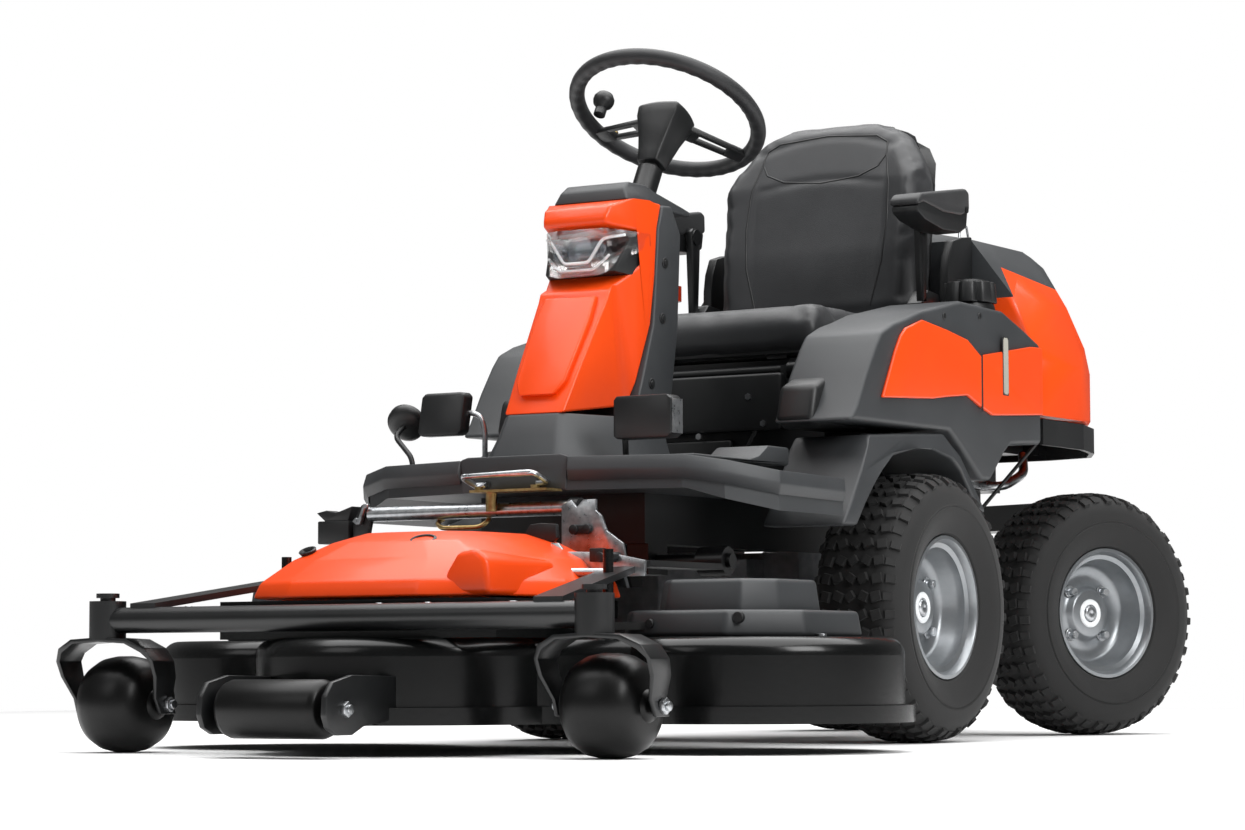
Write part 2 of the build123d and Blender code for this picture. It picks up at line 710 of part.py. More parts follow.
def seat_back():
    """Tall back with the posts that carry the armrests."""
    t = back_thickness
    low = seat_low + cushion_thickness + 3
    front = [(290, low), (304, 900), (330, 1035), (372, 1150)]
    rear = [(front[3][0] + 40, seat_top), (front[3][0] + t, 1150), (330 + t, 1035), (304 + t, 900),
            (288 + t, low - 60), (cushion_rear + seat_gap, low - 60), (cushion_rear + seat_gap, low)]
    side = side_plate(front + rear, -back_half_width, back_half_width)
    w = back_half_width
    face = [(-w, low - 70), (-w, 960), (-w + 18, 1110), (-w + 70, seat_top), (w - 70, seat_top),
            (w - 18, 1110), (w, 960), (w, low - 70)]
    return side & front_plate(face, 250, 520)


def arm_posts():
    """Cranked post on each side of the back that carries an armrest."""
    y, a, b, z = arm_pivot_y, arm_post_inner, arm_post_outer, arm_post_low
    post = block(a, b, y - 15, y + 15, z, arm_pivot_z + 14)
    post += rod((b - 1, y, arm_pivot_z), (b + 34, y, arm_pivot_z), arm_pin_radius)
    post += block(a, b, y - 15, y + 58, z, z + 24)
    post += block(back_half_width + seat_gap, b, y + 34, y + 58, z, z + 24)
    return [post, other_side(post)]


def armrest(side):
    """Padded armrest that folds up about a pin through its rear third."""
    a = arm_post_outer + seat_gap
    pad = side_plate([(126, 958), (130, 938), (160, 927), (230, 915), (300, 917), (328, 928), (335, 960),
                      (332, 998), (318, 1003), (250, 992), (140, 972)], a, a + 62)
    pad -= rod((a - 1, arm_pivot_y, arm_pivot_z), (a + 36, arm_pivot_y, arm_pivot_z),
               arm_pin_radius + running_clearance)
    return pad if side > 0 else other_side(pad)


# ---- Pedals and knob --------------------------------------------------------------

def pedal_hub(name):
    """Pivot boss and pins of one pedal."""
    x, y = {label: (px, py) for label, px, py in pedal_posts()}[name]
    hub = rod((x - 12.5, y, pedal_pivot_z), (x + 12.5, y, pedal_pivot_z), pedal_boss_radius)
    return hub + rod((x - 21, y, pedal_pivot_z), (x + 21, y, pedal_pivot_z), pedal_pin_radius), x, y


def pedal_brake():
    """Brake pedal with a wide pad on the left."""
    hub, x, y = pedal_hub("pedal_brake")
    arm = bent_rod([(x, y, pedal_pivot_z), (x, y - 4, 512), (x + 52, y - 4, 528)], pedal_rod_radius, 12)
    return hub + arm + block(x + 4, x + 104, y - 34, y - 4, 500, 560)


def pedal_reverse():
    """Reverse pedal with a square pad."""
    hub, x, y = pedal_hub("pedal_reverse")
    arm = bent_rod([(x, y, pedal_pivot_z), (x - 4, y, 556), (x - 60, y, 560)], pedal_rod_radius, 18)
    pad = Pos(x - 72, y - 6, 558) * Rot(12, 0, 0) * Box(84, 24, 70)
    return hub + arm + pad


def pedal_forward():
    """Drive pedal with a round pad on a cranked rod."""
    hub, x, y = pedal_hub("pedal_forward")
    run = [(x, y, pedal_pivot_z), (x - 3, y + 2, 486), (x - 52, y + 18, 528), (x - 50, y + 52, 548)]
    arm = bent_rod(run, pedal_rod_radius, 12)
    pad = Plane(origin=(x - 50, y + 46, 545), z_dir=(-0.2, 0.8, 0.5)) * Cylinder(32, 22, align=LOW)
    return hub + arm + pad


def pto_knob():
    """Pull knob that starts the blades."""
    return rod((-pto_x, 325, 792), (-pto_x, 325, 834), 7) + rod((-pto_x, 325, 832.5), (-pto_x, 325, 862), 18)


# ---- Front hook bar and bail ------------------------------------------------------

def hook_bar():
    """Cross bar and latch block at the front of the frame, where the deck frame hooks on."""
    bar = rod((-385, -722, 378), (150, -722, 378), 10)
    for x in (-150, 138):
        bar += block(x, x + 12, -730, rail_front, 366, 392)
    bar += block(-385, -375, -740, -705, 362, 396)
    latch = block(-55, 55, floor_front - 12, floor_front, 414, 436)
    latch += block(-20, 20, floor_front - 12, floor_front - 2, 392, 418)
    latch -= rod((-60, floor_front - 6, 425), (60, floor_front - 6, 425), 3.5 + running_clearance)
    return [bar, latch]


def latch_bail():
    """Wire bail that frees the deck frame."""
    y, z = floor_front - 6, 425
    run = [(-50, y, z), (-70, y, z), (-70, y - 42, z + 12), (70, y - 42, z + 12), (70, y, z), (50, y, z)]
    return bent_rod(run, 3.5, 6)


# ---- Deck -------------------------------------------------------------------------

spindles = ((0.0, centre_spindle_y), (side_spindle_x, side_spindle_y), (-side_spindle_x, side_spindle_y))


def deck_form(shrink, z0, z1, edge):
    """Deck body: three round lobes and the webs between them, with a rounded upper edge."""
    r = lobe_radius - shrink
    web = lobe_web_radius - shrink
    plan = Pos(0, side_spindle_y - 40) * Rectangle(2 * side_spindle_x, 2 * (r - 60))
    for x, y in spindles:
        plan += Pos(x, y) * Circle(r)
        ends = [Pos(0, centre_spindle_y) * Circle(web), Pos(x, y) * Circle(web)]
        plan += make_hull((Sketch() + ends).edges())
    form = Pos(0, 0, z0) * extrude(plan, amount=z1 - z0)
    return fillet(form.faces().sort_by(Axis.Z)[-1].edges(), edge) if edge else form


def belt_outline(grow):
    """Area swept by the belt between the three pulleys."""
    r = pulley_radius + belt_width + grow
    return make_hull((Sketch() + [Pos(x, y) * Circle(r) for x, y in spindles]).edges())


def hanger_x():
    """Where the lift arm stands over the deck hangers."""
    share = (hanger_y - front_bar_y) / (arm_knee_y - front_bar_y)
    return arm_foot_x + (arm_rear_x - arm_foot_x) * share


def deck_shell():
    """Pressed deck, open below, with spindle bosses, hangers and the pulley box walls."""
    shell = deck_form(0, deck_low, deck_top, deck_edge_fillet)
    shell -= deck_form(deck_wall, deck_low - 1, deck_top - deck_wall, deck_edge_fillet - deck_wall)
    for x, y in spindles:
        shell += rod((x, y, deck_top - 30), (x, y, deck_top + 6), spindle_boss_radius)
        shell -= rod((x, y, deck_top - 31), (x, y, deck_top + 7), spindle_radius + running_clearance)
    w, t = pulley_box_width / 2, deck_wall
    wall = block(-w, w, pulley_box_front, pulley_box_rear, deck_top - 1, pulley_box_top)
    wall -= block(-w + t, w - t, pulley_box_front + t, pulley_box_rear - t, deck_top - 1, pulley_box_top + 1)
    wall -= Pos(0, 0, deck_top) * extrude(belt_outline(8), amount=30)
    shell += wall
    for side in (-1, 1):
        x = side * hanger_x()
        shell += rod((x, hanger_y, deck_top - 2), (x, hanger_y, 308), hanger_radius)
    return shell


def deck_rail():
    """Bumper bar round the deck's lower edge with the arms of the scalp roller."""
    outer = deck_form(-15, rail_bar_low, rail_bar_low + rail_bar, 0)
    rail = outer - deck_form(-15 + rail_bar, rail_bar_low - 1, rail_bar_low + rail_bar + 1, 0)
    rail -= deck_form(0, deck_low, deck_top, 0)
    bridge = centre_spindle_y - lobe_radius - 8
    for side in (-1, 1):
        x0, x1 = sorted((side * (roller_half_length + 3), side * (roller_half_length + 10)))
        arm = block(x0, x1, roller_y - 18, bridge, roller_z - 18, roller_z + 20)
        arm += block(x0, x1, roller_y - 18, bridge + 14, rail_bar_low + 2, rail_bar_low + rail_bar - 2)
        rail += arm
        rail -= rod((x0 - 1, roller_y, roller_z), (x1 + 1, roller_y, roller_z),
                    roller_pin_radius + running_clearance)
    return rail - deck_form(0, deck_low, deck_top, 0)


def deck_cover():
    """Faceted cover over the centre spindle and its pulley."""
    z0, z1 = pulley_box_top + seat_gap, 336.0
    middle, depth = (pulley_box_front + pulley_box_rear) / 2, pulley_box_rear - pulley_box_front
    width = pulley_box_width + 8
    low = Plane(origin=(0, middle, z0)) * Rectangle(width, depth + 8)
    high = Plane(origin=(0, -892, z1)) * Rectangle(330, 190)
    cover = loft([low, high])
    hollow_low = Plane(origin=(0, middle, z0 - 1)) * Rectangle(width - 14, depth - 6)
    hollow_high = Plane(origin=(0, -892, z1 - 6)) * Rectangle(320, 180)
    return cover - loft([hollow_low, hollow_high])


def belt_cover():
    """Stepped cover over the left spindle's pulley."""
    low_outline = [(268, -800), (300, -838), (470, -838), (556, -740), (556, -560), (500, -480), (330, -480),
                   (268, -560)]
    high_outline = [(312, -740), (345, -772), (465, -772), (495, -720), (495, -600), (460, -560), (345, -560),
                    (312, -600)]
    cover = plan_plate(low_outline, deck_top + 0.3, 212) + plan_plate(high_outline, 210, 262)
    hollow = Pos(0, 0, deck_top - 1) * extrude(inset(low_outline, 5), amount=32)
    hollow += Pos(0, 0, 200) * extrude(inset(high_outline, 5), amount=57)
    return cover - hollow - Pos(0, 0, deck_top) * extrude(belt_outline(8), amount=30.5)


def belt_covers():
    """The two belt covers."""
    return [belt_cover(), other_side(belt_cover())]


def drive_belt():
    """Belt round the three spindle pulleys."""
    inside = extrude(belt_outline(-belt_width + seat_gap), amount=belt_height)
    band = extrude(belt_outline(0), amount=belt_height) - inside
    return Pos(0, 0, belt_low) * band


def blade(x, y, turn):
    """Blade, spindle shaft and pulley of one cutting unit."""
    unit = rod((x, y, blade_height - 8), (x, y, belt_low + belt_height + 6), spindle_radius)
    bar = Pos(0, 0, blade_height) * Box(blade_length, blade_width, blade_thickness)
    bar += Pos(0, 0, blade_height) * Cylinder(32, 14)
    unit += Pos(x, y, 0) * Rot(0, 0, turn) * bar
    return unit + rod((x, y, belt_low - 2), (x, y, belt_low + belt_height + 2), pulley_radius)


def roller():
    """Scalp roller in front of the deck with its through pin."""
    reach = roller_half_length + 16
    half = roller_half_length
    drum = rod((-half, roller_y, roller_z), (half, roller_y, roller_z), roller_radius)
    drum = fillet(drum.edges().filter_by(GeomType.CIRCLE), 8)
    return drum + rod((-reach, roller_y, roller_z), (reach, roller_y, roller_z), roller_pin_radius)


# ---- Lift frame and casters -------------------------------------------------------

def lift_frame():
    """Front bar with the caster housings and the two arms back to the lift shaft."""
    z = front_bar_z
    frame = rod((-caster_x, front_bar_y, z), (caster_x, front_bar_y, z), front_bar_radius)
    half, t = arm_strip_width / 2, arm_strip_thickness
    for side in (-1, 1):
        foot = z + front_bar_radius - 4
        run = [(front_bar_y - 6, foot), (arm_knee_y, arm_rear_z - t / 2),
               (lift_pivot_y, arm_rear_z - t / 2), (lift_pivot_y, arm_rear_z + t / 2),
               (arm_knee_y, arm_rear_z + t / 2), (front_bar_y - 6, foot + t)]
        plan = [(side * (arm_foot_x - half), front_bar_y - 6), (side * (arm_foot_x + half), front_bar_y - 6),
                (side * (arm_rear_x + half), arm_knee_y), (side * (arm_rear_x + half), lift_pivot_y),
                (side * (arm_rear_x - half), lift_pivot_y), (side * (arm_rear_x - half), arm_knee_y)]
        arm = side_plate(run, -500, 500) & plan_plate(plan, 150, 350)
        x0, x1 = sorted((side * (arm_rear_x - half), side * (arm_rear_x + half)))
        arm += rod((x0, lift_pivot_y, lift_pivot_z), (x1, lift_pivot_y, lift_pivot_z), lift_shaft_radius + 11)
        arm -= rod((x0 - 1, lift_pivot_y, lift_pivot_z), (x1 + 1, lift_pivot_y, lift_pivot_z),
                   lift_shaft_radius + running_clearance)
        x = side * hanger_x()
        arm -= rod((x, hanger_y, 200), (x, hanger_y, 340), hanger_radius + running_clearance)
        x, y = side * caster_x, front_bar_y
        frame += arm + rod((x, y, housing_low), (x, y, housing_high), housing_radius)
        frame -= rod((x, y, housing_low - 1), (x, y, housing_high + 1),
                     caster_stem_radius + running_clearance)
    return frame


def caster_fork(side):
    """Strip fork with its stem; the wheel trails behind the stem."""
    x, y = side * caster_x, front_bar_y
    top = housing_low - seat_gap
    t = fork_strip
    inner_x = caster_wheel_half_width + 9
    outer = [(-inner_x - t, caster_wheel_radius - 16), (-inner_x - t, caster_wheel_radius + 12), (-96, 122),
             (-96, 144), (-80, 163), (-44, top), (44, top), (80, 163), (96, 144), (96, 122),
             (inner_x + t, caster_wheel_radius + 12), (inner_x + t, caster_wheel_radius - 16)]
    inner = [(inner_x, caster_wheel_radius - 16), (inner_x, caster_wheel_radius + 12), (90, 123), (90, 142),
             (77, 157), (42, top - t), (-42, top - t), (-77, 157), (-90, 142), (-90, 123),
             (-inner_x, caster_wheel_radius + 12), (-inner_x, caster_wheel_radius - 16)]
    strip = front_plate(outer + inner, -fork_depth / 2, caster_trail + fork_depth / 2)
    upper = block(-100, 100, -fork_depth / 2, fork_depth / 2 + 12, 118, 180)
    lower = block(-100, 100, caster_trail - 22, caster_trail + 22, 50, 119)
    shape = strip & (upper + lower + block(-100, 100, 0, caster_trail + 16, 100, 150))
    shape -= rod((-100, caster_trail, caster_wheel_radius), (100, caster_trail, caster_wheel_radius),
                 caster_pin_radius + running_clearance)
    stem = rod((0, 0, top - 2), (0, 0, housing_high + 8), caster_stem_radius)
    stem += rod((0, 0, housing_high + seat_gap), (0, 0, housing_high + 7), caster_stem_radius + 6)
    return Pos(x, y, 0) * (shape + stem)


def caster_wheel(side):
    """Solid caster wheel with round shoulders and its axle bolt."""
    x, y, z = side * caster_x, front_bar_y + caster_trail, caster_wheel_radius
    w = caster_wheel_half_width
    body = rod((x - w, y, z), (x + w, y, z), caster_wheel_radius)
    body = fillet(body.edges().filter_by(GeomType.CIRCLE), 38)
    reach = w + 9 + fork_strip + 8
    body += rod((x - reach, y, z), (x + reach, y, z), caster_pin_radius)
    for a in (-1, 1):
        body += rod((x + a * (w + 9 + fork_strip + seat_gap), y, z), (x + a * reach, y, z), 10)
    return body


# ---- All the pieces ---------------------------------------------------------------

def all_nodes():
    """Every node of the machine by name, in modelling coordinates."""
    nodes = {"main_frame": main_frame(), "front_axle": front_axle(), "rear_axle": rear_axle(),
             "floor_platform": floor_platform(), "fender_left": fender_left(),
             "fender_right": other_side(fender_left()), "side_frame_left": side_frame_left(),
             "side_frame_right": side_frame_right(), "side_panel_left": side_panel(1),
             "side_panel_right": side_panel(-1), "fuel_tank": fuel_tank(), "fuel_cap": fuel_cap(),
             "rear_bumper": rear_bumper(), "hood": hood(), "air_grille": air_grille(), "engine": engine(),
             "muffler": muffler(), "seat_box": seat_box(), "battery": battery(),
             "console_base": console_base(), "console_shell": console_shell(), "console_cap": console_cap(),
             "headlight_unit": headlight_unit(), "headlight_lens": headlight_lens(),
             "steering_column": steering_column(), "steering_wheel": steering_wheel(),
             "spinner_knob": spinner_knob(), "seat_plate": seat_plate(), "seat_cushion": seat_cushion(),
             "seat_back": [seat_back()] + arm_posts(), "armrest_left": armrest(1),
             "armrest_right": armrest(-1),
             "pedal_brake": pedal_brake(), "pedal_reverse": pedal_reverse(), "pedal_forward": pedal_forward(),
             "pto_knob": pto_knob(), "hook_bar": hook_bar(), "latch_bail": latch_bail(),
             "deck_shell": deck_shell(), "deck_rail": deck_rail(), "deck_cover": deck_cover(),
             "belt_covers": belt_covers(), "drive_belt": drive_belt(), "roller": roller(),
             "lift_frame": lift_frame()}
    for label, (x, y), turn in zip(("centre", "left", "right"), spindles, (20, 75, -40)):
        nodes["blade_" + label] = blade(x, y, turn)
    for label, side in (("left", 1), ("right", -1)):
        nodes["caster_fork_" + label] = caster_fork(side)
        nodes["caster_wheel_" + label] = caster_wheel(side)
        for end, axle_y, turn in (("front", 0.0, 0.0), ("rear", wheelbase, steer_at_rest)):
            nodes[f"rim_{end}_{label}"] = place_wheel(wheel_rim(), side, axle_y, turn)
            nodes[f"tyre_{end}_{label}"] = place_wheel(tyre(), side, axle_y, turn)
    return nodes


def footprint_middle():
    """Y of the middle of the machine's footprint, with the rear wheels turned as they stand."""
    front = roller_y - roller_radius
    turn = radians(abs(steer_at_rest))
    rear = wheelbase + wheel_offset * sin(turn) + tyre_radius * cos(turn) + tread_half_width * sin(turn)
    return (front + rear) / 2


def write_parts():
    """Write one STEP file per node."""
    os.makedirs("parts", exist_ok=True)
    shift = Pos(0, -footprint_middle(), 0)
    for name, pieces in all_nodes().items():
        pieces = pieces if isinstance(pieces, list) else [pieces]
        solids = [shift * solid for piece in pieces for solid in piece.solids()]
        shape = solids[0] if len(solids) == 1 else Compound(children=solids)
        export_step(shape, os.path.join("parts", name + ".step"))


if __name__ == "__main__":
    write_parts()
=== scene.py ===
"""Looks of a riding lawn mower with a front deck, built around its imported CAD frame."""

from __future__ import annotations

import json
import logging
import math
from collections.abc import Callable, Iterable, Sequence
from dataclasses import dataclass, field
from enum import Enum

import bmesh
import bpy
from mathutils import Matrix, Vector
from mathutils.bvhtree import BVHTree

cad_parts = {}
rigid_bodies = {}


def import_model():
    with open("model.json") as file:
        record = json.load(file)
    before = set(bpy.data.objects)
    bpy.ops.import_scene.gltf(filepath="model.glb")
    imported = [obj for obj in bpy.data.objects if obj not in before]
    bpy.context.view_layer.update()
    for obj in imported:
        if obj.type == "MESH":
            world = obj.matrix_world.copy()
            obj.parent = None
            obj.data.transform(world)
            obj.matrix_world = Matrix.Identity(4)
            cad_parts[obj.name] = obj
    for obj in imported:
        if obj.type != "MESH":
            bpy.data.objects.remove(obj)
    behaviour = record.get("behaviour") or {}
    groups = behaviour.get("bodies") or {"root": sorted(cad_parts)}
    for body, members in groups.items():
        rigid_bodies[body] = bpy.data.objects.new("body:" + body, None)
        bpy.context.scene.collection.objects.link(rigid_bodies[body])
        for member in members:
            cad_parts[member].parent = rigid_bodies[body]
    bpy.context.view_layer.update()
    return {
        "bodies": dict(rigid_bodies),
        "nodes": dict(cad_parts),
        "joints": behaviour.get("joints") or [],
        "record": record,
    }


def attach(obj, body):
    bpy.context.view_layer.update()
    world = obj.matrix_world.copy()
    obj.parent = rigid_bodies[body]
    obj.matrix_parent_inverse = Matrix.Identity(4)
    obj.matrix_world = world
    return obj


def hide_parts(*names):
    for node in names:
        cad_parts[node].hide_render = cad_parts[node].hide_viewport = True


log = logging.getLogger("mower")

MM = 0.001
AXLE_FROM_MIDDLE = 43.3206  # mm from the footprint's middle back to the front axle
Point = tuple[float, float, float]
Flat = tuple[float, float]


class Side(Enum):
    """Side of the machine as its driver sees it."""

    LEFT = 1
    RIGHT = -1

    @property
    def word(self) -> str:
        """Lower-case name used in node and body names."""
        return self.name.lower()


class Plane(Enum):
    """Plane that an outline is drawn in, with the axis that it is extruded along."""

    FRONT = (0, 2, 1)
    SIDE = (1, 2, 0)
    TOP = (0, 1, 2)


def spot(x: float, y: float, z: float) -> Vector:
    """Point in metres for millimetres counted from the ground below the front axle."""
    return Vector((x, y + AXLE_FROM_MIDDLE, z)) * MM


# ---- Materials --------------------------------------------------------------------


def linear(colour: str) -> tuple[float, float, float, float]:
    """Turn an sRGB hex colour into linear light.

    Args:
        colour: Six hex digits after a hash.

    Returns:
        Linear red, green, blue and an alpha of one.
    """
    parts = [int(colour[i:i + 2], 16) / 255 for i in (1, 3, 5)]
    red, green, blue = (c / 12.92 if c <= 0.04045 else ((c + 0.055) / 1.055) ** 2.4 for c in parts)
    return red, green, blue, 1.0


def add(tree: bpy.types.NodeTree, kind: str, settings: dict[str, object] | None = None,
        links: dict[str | int, bpy.types.NodeSocket] | None = None) -> bpy.types.Node:
    """Add one shader node with its settings and links.

    Args:
        tree: Node tree that gets the node.
        kind: Node type after the ShaderNode prefix.
        settings: Values by attribute name, or by input name where it starts with a capital.
        links: Sockets to link in, by input name or number.

    Returns:
        The new node.
    """
    new = tree.nodes.new("ShaderNode" + kind)
    for key, value in (settings or {}).items():
        if key[0].isupper() or key[0].isdigit():
            new.inputs[int(key) if key.isdigit() else key].default_value = value
        else:
            setattr(new, key, value)
    for key, socket in (links or {}).items():
        tree.links.new(socket, new.inputs[key])
    return new


@dataclass(frozen=True)
class Finish:
    """One real material and how its surface was made.

    The grain is a fine relief and the mottle a slow change of colour and gloss.
    """

    name: str
    colour: str
    shade: str
    roughness: float
    metallic: float = 0.0
    grain_mm: float = 0.8
    grain_depth: float = 0.05
    mottle_mm: float = 60.0
    coat: float = 0.0
    coat_roughness: float = 0.1
    sheen: float = 0.0
    specular: float = 0.5
    spread: float = 0.06
    stretch: Point = (1.0, 1.0, 1.0)

    def build(self) -> bpy.types.Material:
        """Make the material once and reuse it after that.

        Returns:
            The Blender material.
        """
        found = bpy.data.materials.get(self.name)
        if found:
            return found
        material = bpy.data.materials.new(self.name)
        material.use_nodes = True
        tree = material.node_tree
        tree.nodes.clear()
        self.wire(tree)
        material.diffuse_color = linear(self.colour)
        return material

    def wire(self, tree: bpy.types.NodeTree) -> None:
        """Add the nodes: mottled colour and gloss, fine grain, and the shader."""
        place = add(tree, "TexCoord").outputs["Object"]
        place = add(tree, "Mapping", {"Scale": self.stretch}, {"Vector": place}).outputs["Vector"]
        slow = add(tree, "TexNoise", {"Scale": 1 / (self.mottle_mm * MM), "Detail": 4.0, "Roughness": 0.6},
                   {"Vector": place})
        tint = add(tree, "ValToRGB", {}, {"Fac": slow.outputs["Fac"]})
        tint.color_ramp.elements[0].position, tint.color_ramp.elements[1].position = 0.35, 0.65
        tint.color_ramp.elements[0].color = linear(self.shade)
        tint.color_ramp.elements[1].color = linear(self.colour)
        gloss = add(tree, "MapRange", {"To Min": max(self.roughness - self.spread, 0.02),
                                       "To Max": min(self.roughness + self.spread, 1.0)},
                    {"Value": slow.outputs["Fac"]})
        relief = self.relief(tree, place)
        shader = add(tree, "BsdfPrincipled",
                     {"Metallic": self.metallic, "Coat Weight": self.coat, "Coat Roughness": self.coat_roughness,
                      "Sheen Weight": self.sheen, "Specular IOR Level": self.specular},
                     {"Base Color": tint.outputs["Color"], "Roughness": gloss.outputs["Result"],
                      "Normal": relief})
        add(tree, "OutputMaterial", {}, {"Surface": shader.outputs["BSDF"]})

    def relief(self, tree: bpy.types.NodeTree, place: bpy.types.NodeSocket) -> bpy.types.NodeSocket:
        """Bump of the fine grain.

        Args:
            tree: Node tree being wired.
            place: Socket with the object position.

        Returns:
            Socket with the bumped normal.
        """
        grain = add(tree, "TexNoise", {"Scale": 1 / (self.grain_mm * MM), "Detail": 3.0}, {"Vector": place})
        bump = add(tree, "Bump", {"Strength": self.grain_depth, "Distance": 0.001},
                   {"Height": grain.outputs["Fac"]})
        return bump.outputs["Normal"]


@dataclass(frozen=True)
class GrainedVinyl(Finish):
    """Seat vinyl: a cell pattern of small creases pressed into the skin."""

    def relief(self, tree: bpy.types.NodeTree, place: bpy.types.NodeSocket) -> bpy.types.NodeSocket:
        """Bump of the pressed leather-like cells."""
        cells = add(tree, "TexVoronoi", {"feature": "DISTANCE_TO_EDGE", "Scale": 1 / (self.grain_mm * MM)},
                    {"Vector": place})
        flat = add(tree, "MapRange", {"From Max": 0.18}, {"Value": cells.outputs["Distance"]})
        bump = add(tree, "Bump", {"Strength": self.grain_depth, "Distance": 0.001},
                   {"Height": flat.outputs["Result"]})
        return bump.outputs["Normal"]


@dataclass(frozen=True)
class ClearPlastic(Finish):
    """Moulded polycarbonate: clear, hard and very smooth."""

    def wire(self, tree: bpy.types.NodeTree) -> None:
        """Add the nodes of a clear shell with faint flow marks."""
        place = add(tree, "TexCoord").outputs["Object"]
        relief = self.relief(tree, place)
        shader = add(tree, "BsdfPrincipled",
                     {"Base Color": linear(self.colour), "Roughness": self.roughness, "IOR": 1.585,
                      "Transmission Weight": 1.0, "Alpha": 0.45}, {"Normal": relief})
        add(tree, "OutputMaterial", {}, {"Surface": shader.outputs["BSDF"]})


# ASA plastic, injection moulded in high-gloss tooling: even colour with a thin bright skin.
ORANGE_ASA = Finish("orange_asa_moulded", "#EE4A08", "#E94506", 0.36, grain_mm=1.6, grain_depth=0.012,
                    mottle_mm=220, coat=0.12, coat_roughness=0.10, spread=0.03, specular=0.35)
# Polypropylene from a spark-eroded tool: a dull dark grey with a fine even texture.
GREY_PP = Finish("grey_polypropylene_textured", "#36383A", "#303234", 0.48, grain_mm=0.9, grain_depth=0.22,
                 mottle_mm=140)
# The same plastic in black, a little glossier on flat faces.
BLACK_PP = Finish("black_polypropylene_moulded", "#18191A", "#121314", 0.42, grain_mm=0.9, grain_depth=0.18,
                  mottle_mm=120)
# Steel with black powder coat: faint orange peel at two millimetres.
POWDER_COAT = Finish("steel_black_powder_coated", "#101112", "#0B0C0D", 0.36, grain_mm=2.2, grain_depth=0.10,
                     mottle_mm=90, coat=0.15, coat_roughness=0.25)
# Pressed steel dipped in black enamel: deep gloss over slow waves in the sheet.
DECK_ENAMEL = Finish("steel_black_enamelled", "#0B0C0C", "#080909", 0.24, grain_mm=9.0, grain_depth=0.05,
                     mottle_mm=180, coat=0.12, coat_roughness=0.12, specular=0.30)
# Steel wheel with silver lacquer: metallic flake, soft highlight.
SILVER_LACQUER = Finish("steel_silver_lacquered", "#94979A", "#85898C", 0.34, metallic=0.75, grain_mm=0.5,
                        grain_depth=0.06, mottle_mm=70, coat=0.25, coat_roughness=0.15)
# Zinc-plated steel: bright, slightly streaked along the bar.
ZINC_PLATE = Finish("steel_zinc_plated", "#C9CBCD", "#A9ACAF", 0.30, metallic=1.0, grain_mm=1.2,
                    grain_depth=0.12, mottle_mm=12, spread=0.10)
# Yellow-passivated zinc on small rods and bails: pale brass tone.
YELLOW_ZINC = Finish("steel_yellow_passivated", "#C6AE7A", "#A98C58", 0.33, metallic=1.0, grain_mm=1.2,
                     grain_depth=0.12, mottle_mm=10, spread=0.10)
# Cured turf-tyre rubber: nearly black, dusty on the high spots.
TURF_RUBBER = Finish("rubber_cured_tyre", "#141414", "#0D0D0D", 0.74, grain_mm=1.4, grain_depth=0.25,
                     mottle_mm=30, spread=0.08, sheen=0.05)
# Solid polyurethane on casters and rollers: black with a satin roll.
CASTER_RUBBER = Finish("polyurethane_cast_black", "#0A0A0A", "#070707", 0.36, grain_mm=3.0, grain_depth=0.08,
                       mottle_mm=50, specular=0.28)
# Foamed grip of the steering wheel: soft black skin.
GRIP_FOAM = Finish("polyurethane_foam_grip", "#1C1D1F", "#161719", 0.52, grain_mm=1.1, grain_depth=0.20,
                   mottle_mm=40, sheen=0.08)
# Seat vinyl, pressed grain about three millimetres across.
SEAT_VINYL = GrainedVinyl("vinyl_grained_black", "#2C2D2F", "#252628", 0.44, grain_mm=2.6, grain_depth=0.16,
                          mottle_mm=90, sheen=0.05)
# Smooth vinyl cord sewn along the seams.
PIPING_VINYL = Finish("vinyl_piping_black", "#1B1C1D", "#151617", 0.36, grain_mm=1.5, grain_depth=0.08)
# Natural polyethylene tank: milky and waxy.
TANK_PE = Finish("polyethylene_natural", "#A9A79D", "#9D9A8F", 0.42, grain_mm=2.0, grain_depth=0.10)
# Sand-cast alloy: pale grey, matt, rough to the touch.
CAST_ALLOY = Finish("aluminium_sand_cast", "#8E9092", "#7A7C7F", 0.55, metallic=0.85, grain_mm=1.2,
                    grain_depth=0.45, mottle_mm=25)
# Aluminised lamp bowl.
LAMP_BOWL = Finish("polycarbonate_aluminised", "#C8CBD0", "#9FA3A9", 0.16, metallic=1.0, grain_mm=6.0,
                   grain_depth=0.10, mottle_mm=18)
# Frosted white light guide in the lamp.
LIGHT_GUIDE = Finish("acrylic_opal_white", "#F4F6F7", "#E4E8EA", 0.30, grain_mm=1.0, grain_depth=0.05)
RED_ABS = Finish("abs_red_moulded", "#D43A14", "#C63210", 0.34, grain_mm=1.0, grain_depth=0.08, coat=0.2)
CLEAR_PC = ClearPlastic("polycarbonate_clear", "#E9EEF1", "#E9EEF1", 0.04, grain_mm=14.0, grain_depth=0.03)
BLADE_STEEL = Finish("steel_forged_ground", "#8A8C8E", "#6C6F72", 0.40, metallic=1.0, grain_mm=1.0,
                     grain_depth=0.3, mottle_mm=15)
FLOOR_PAPER = Finish("paper_backdrop_white", "#F8F8F8", "#F6F6F6", 0.85, grain_mm=4.0, grain_depth=0.02,
                     mottle_mm=900, specular=0.2)

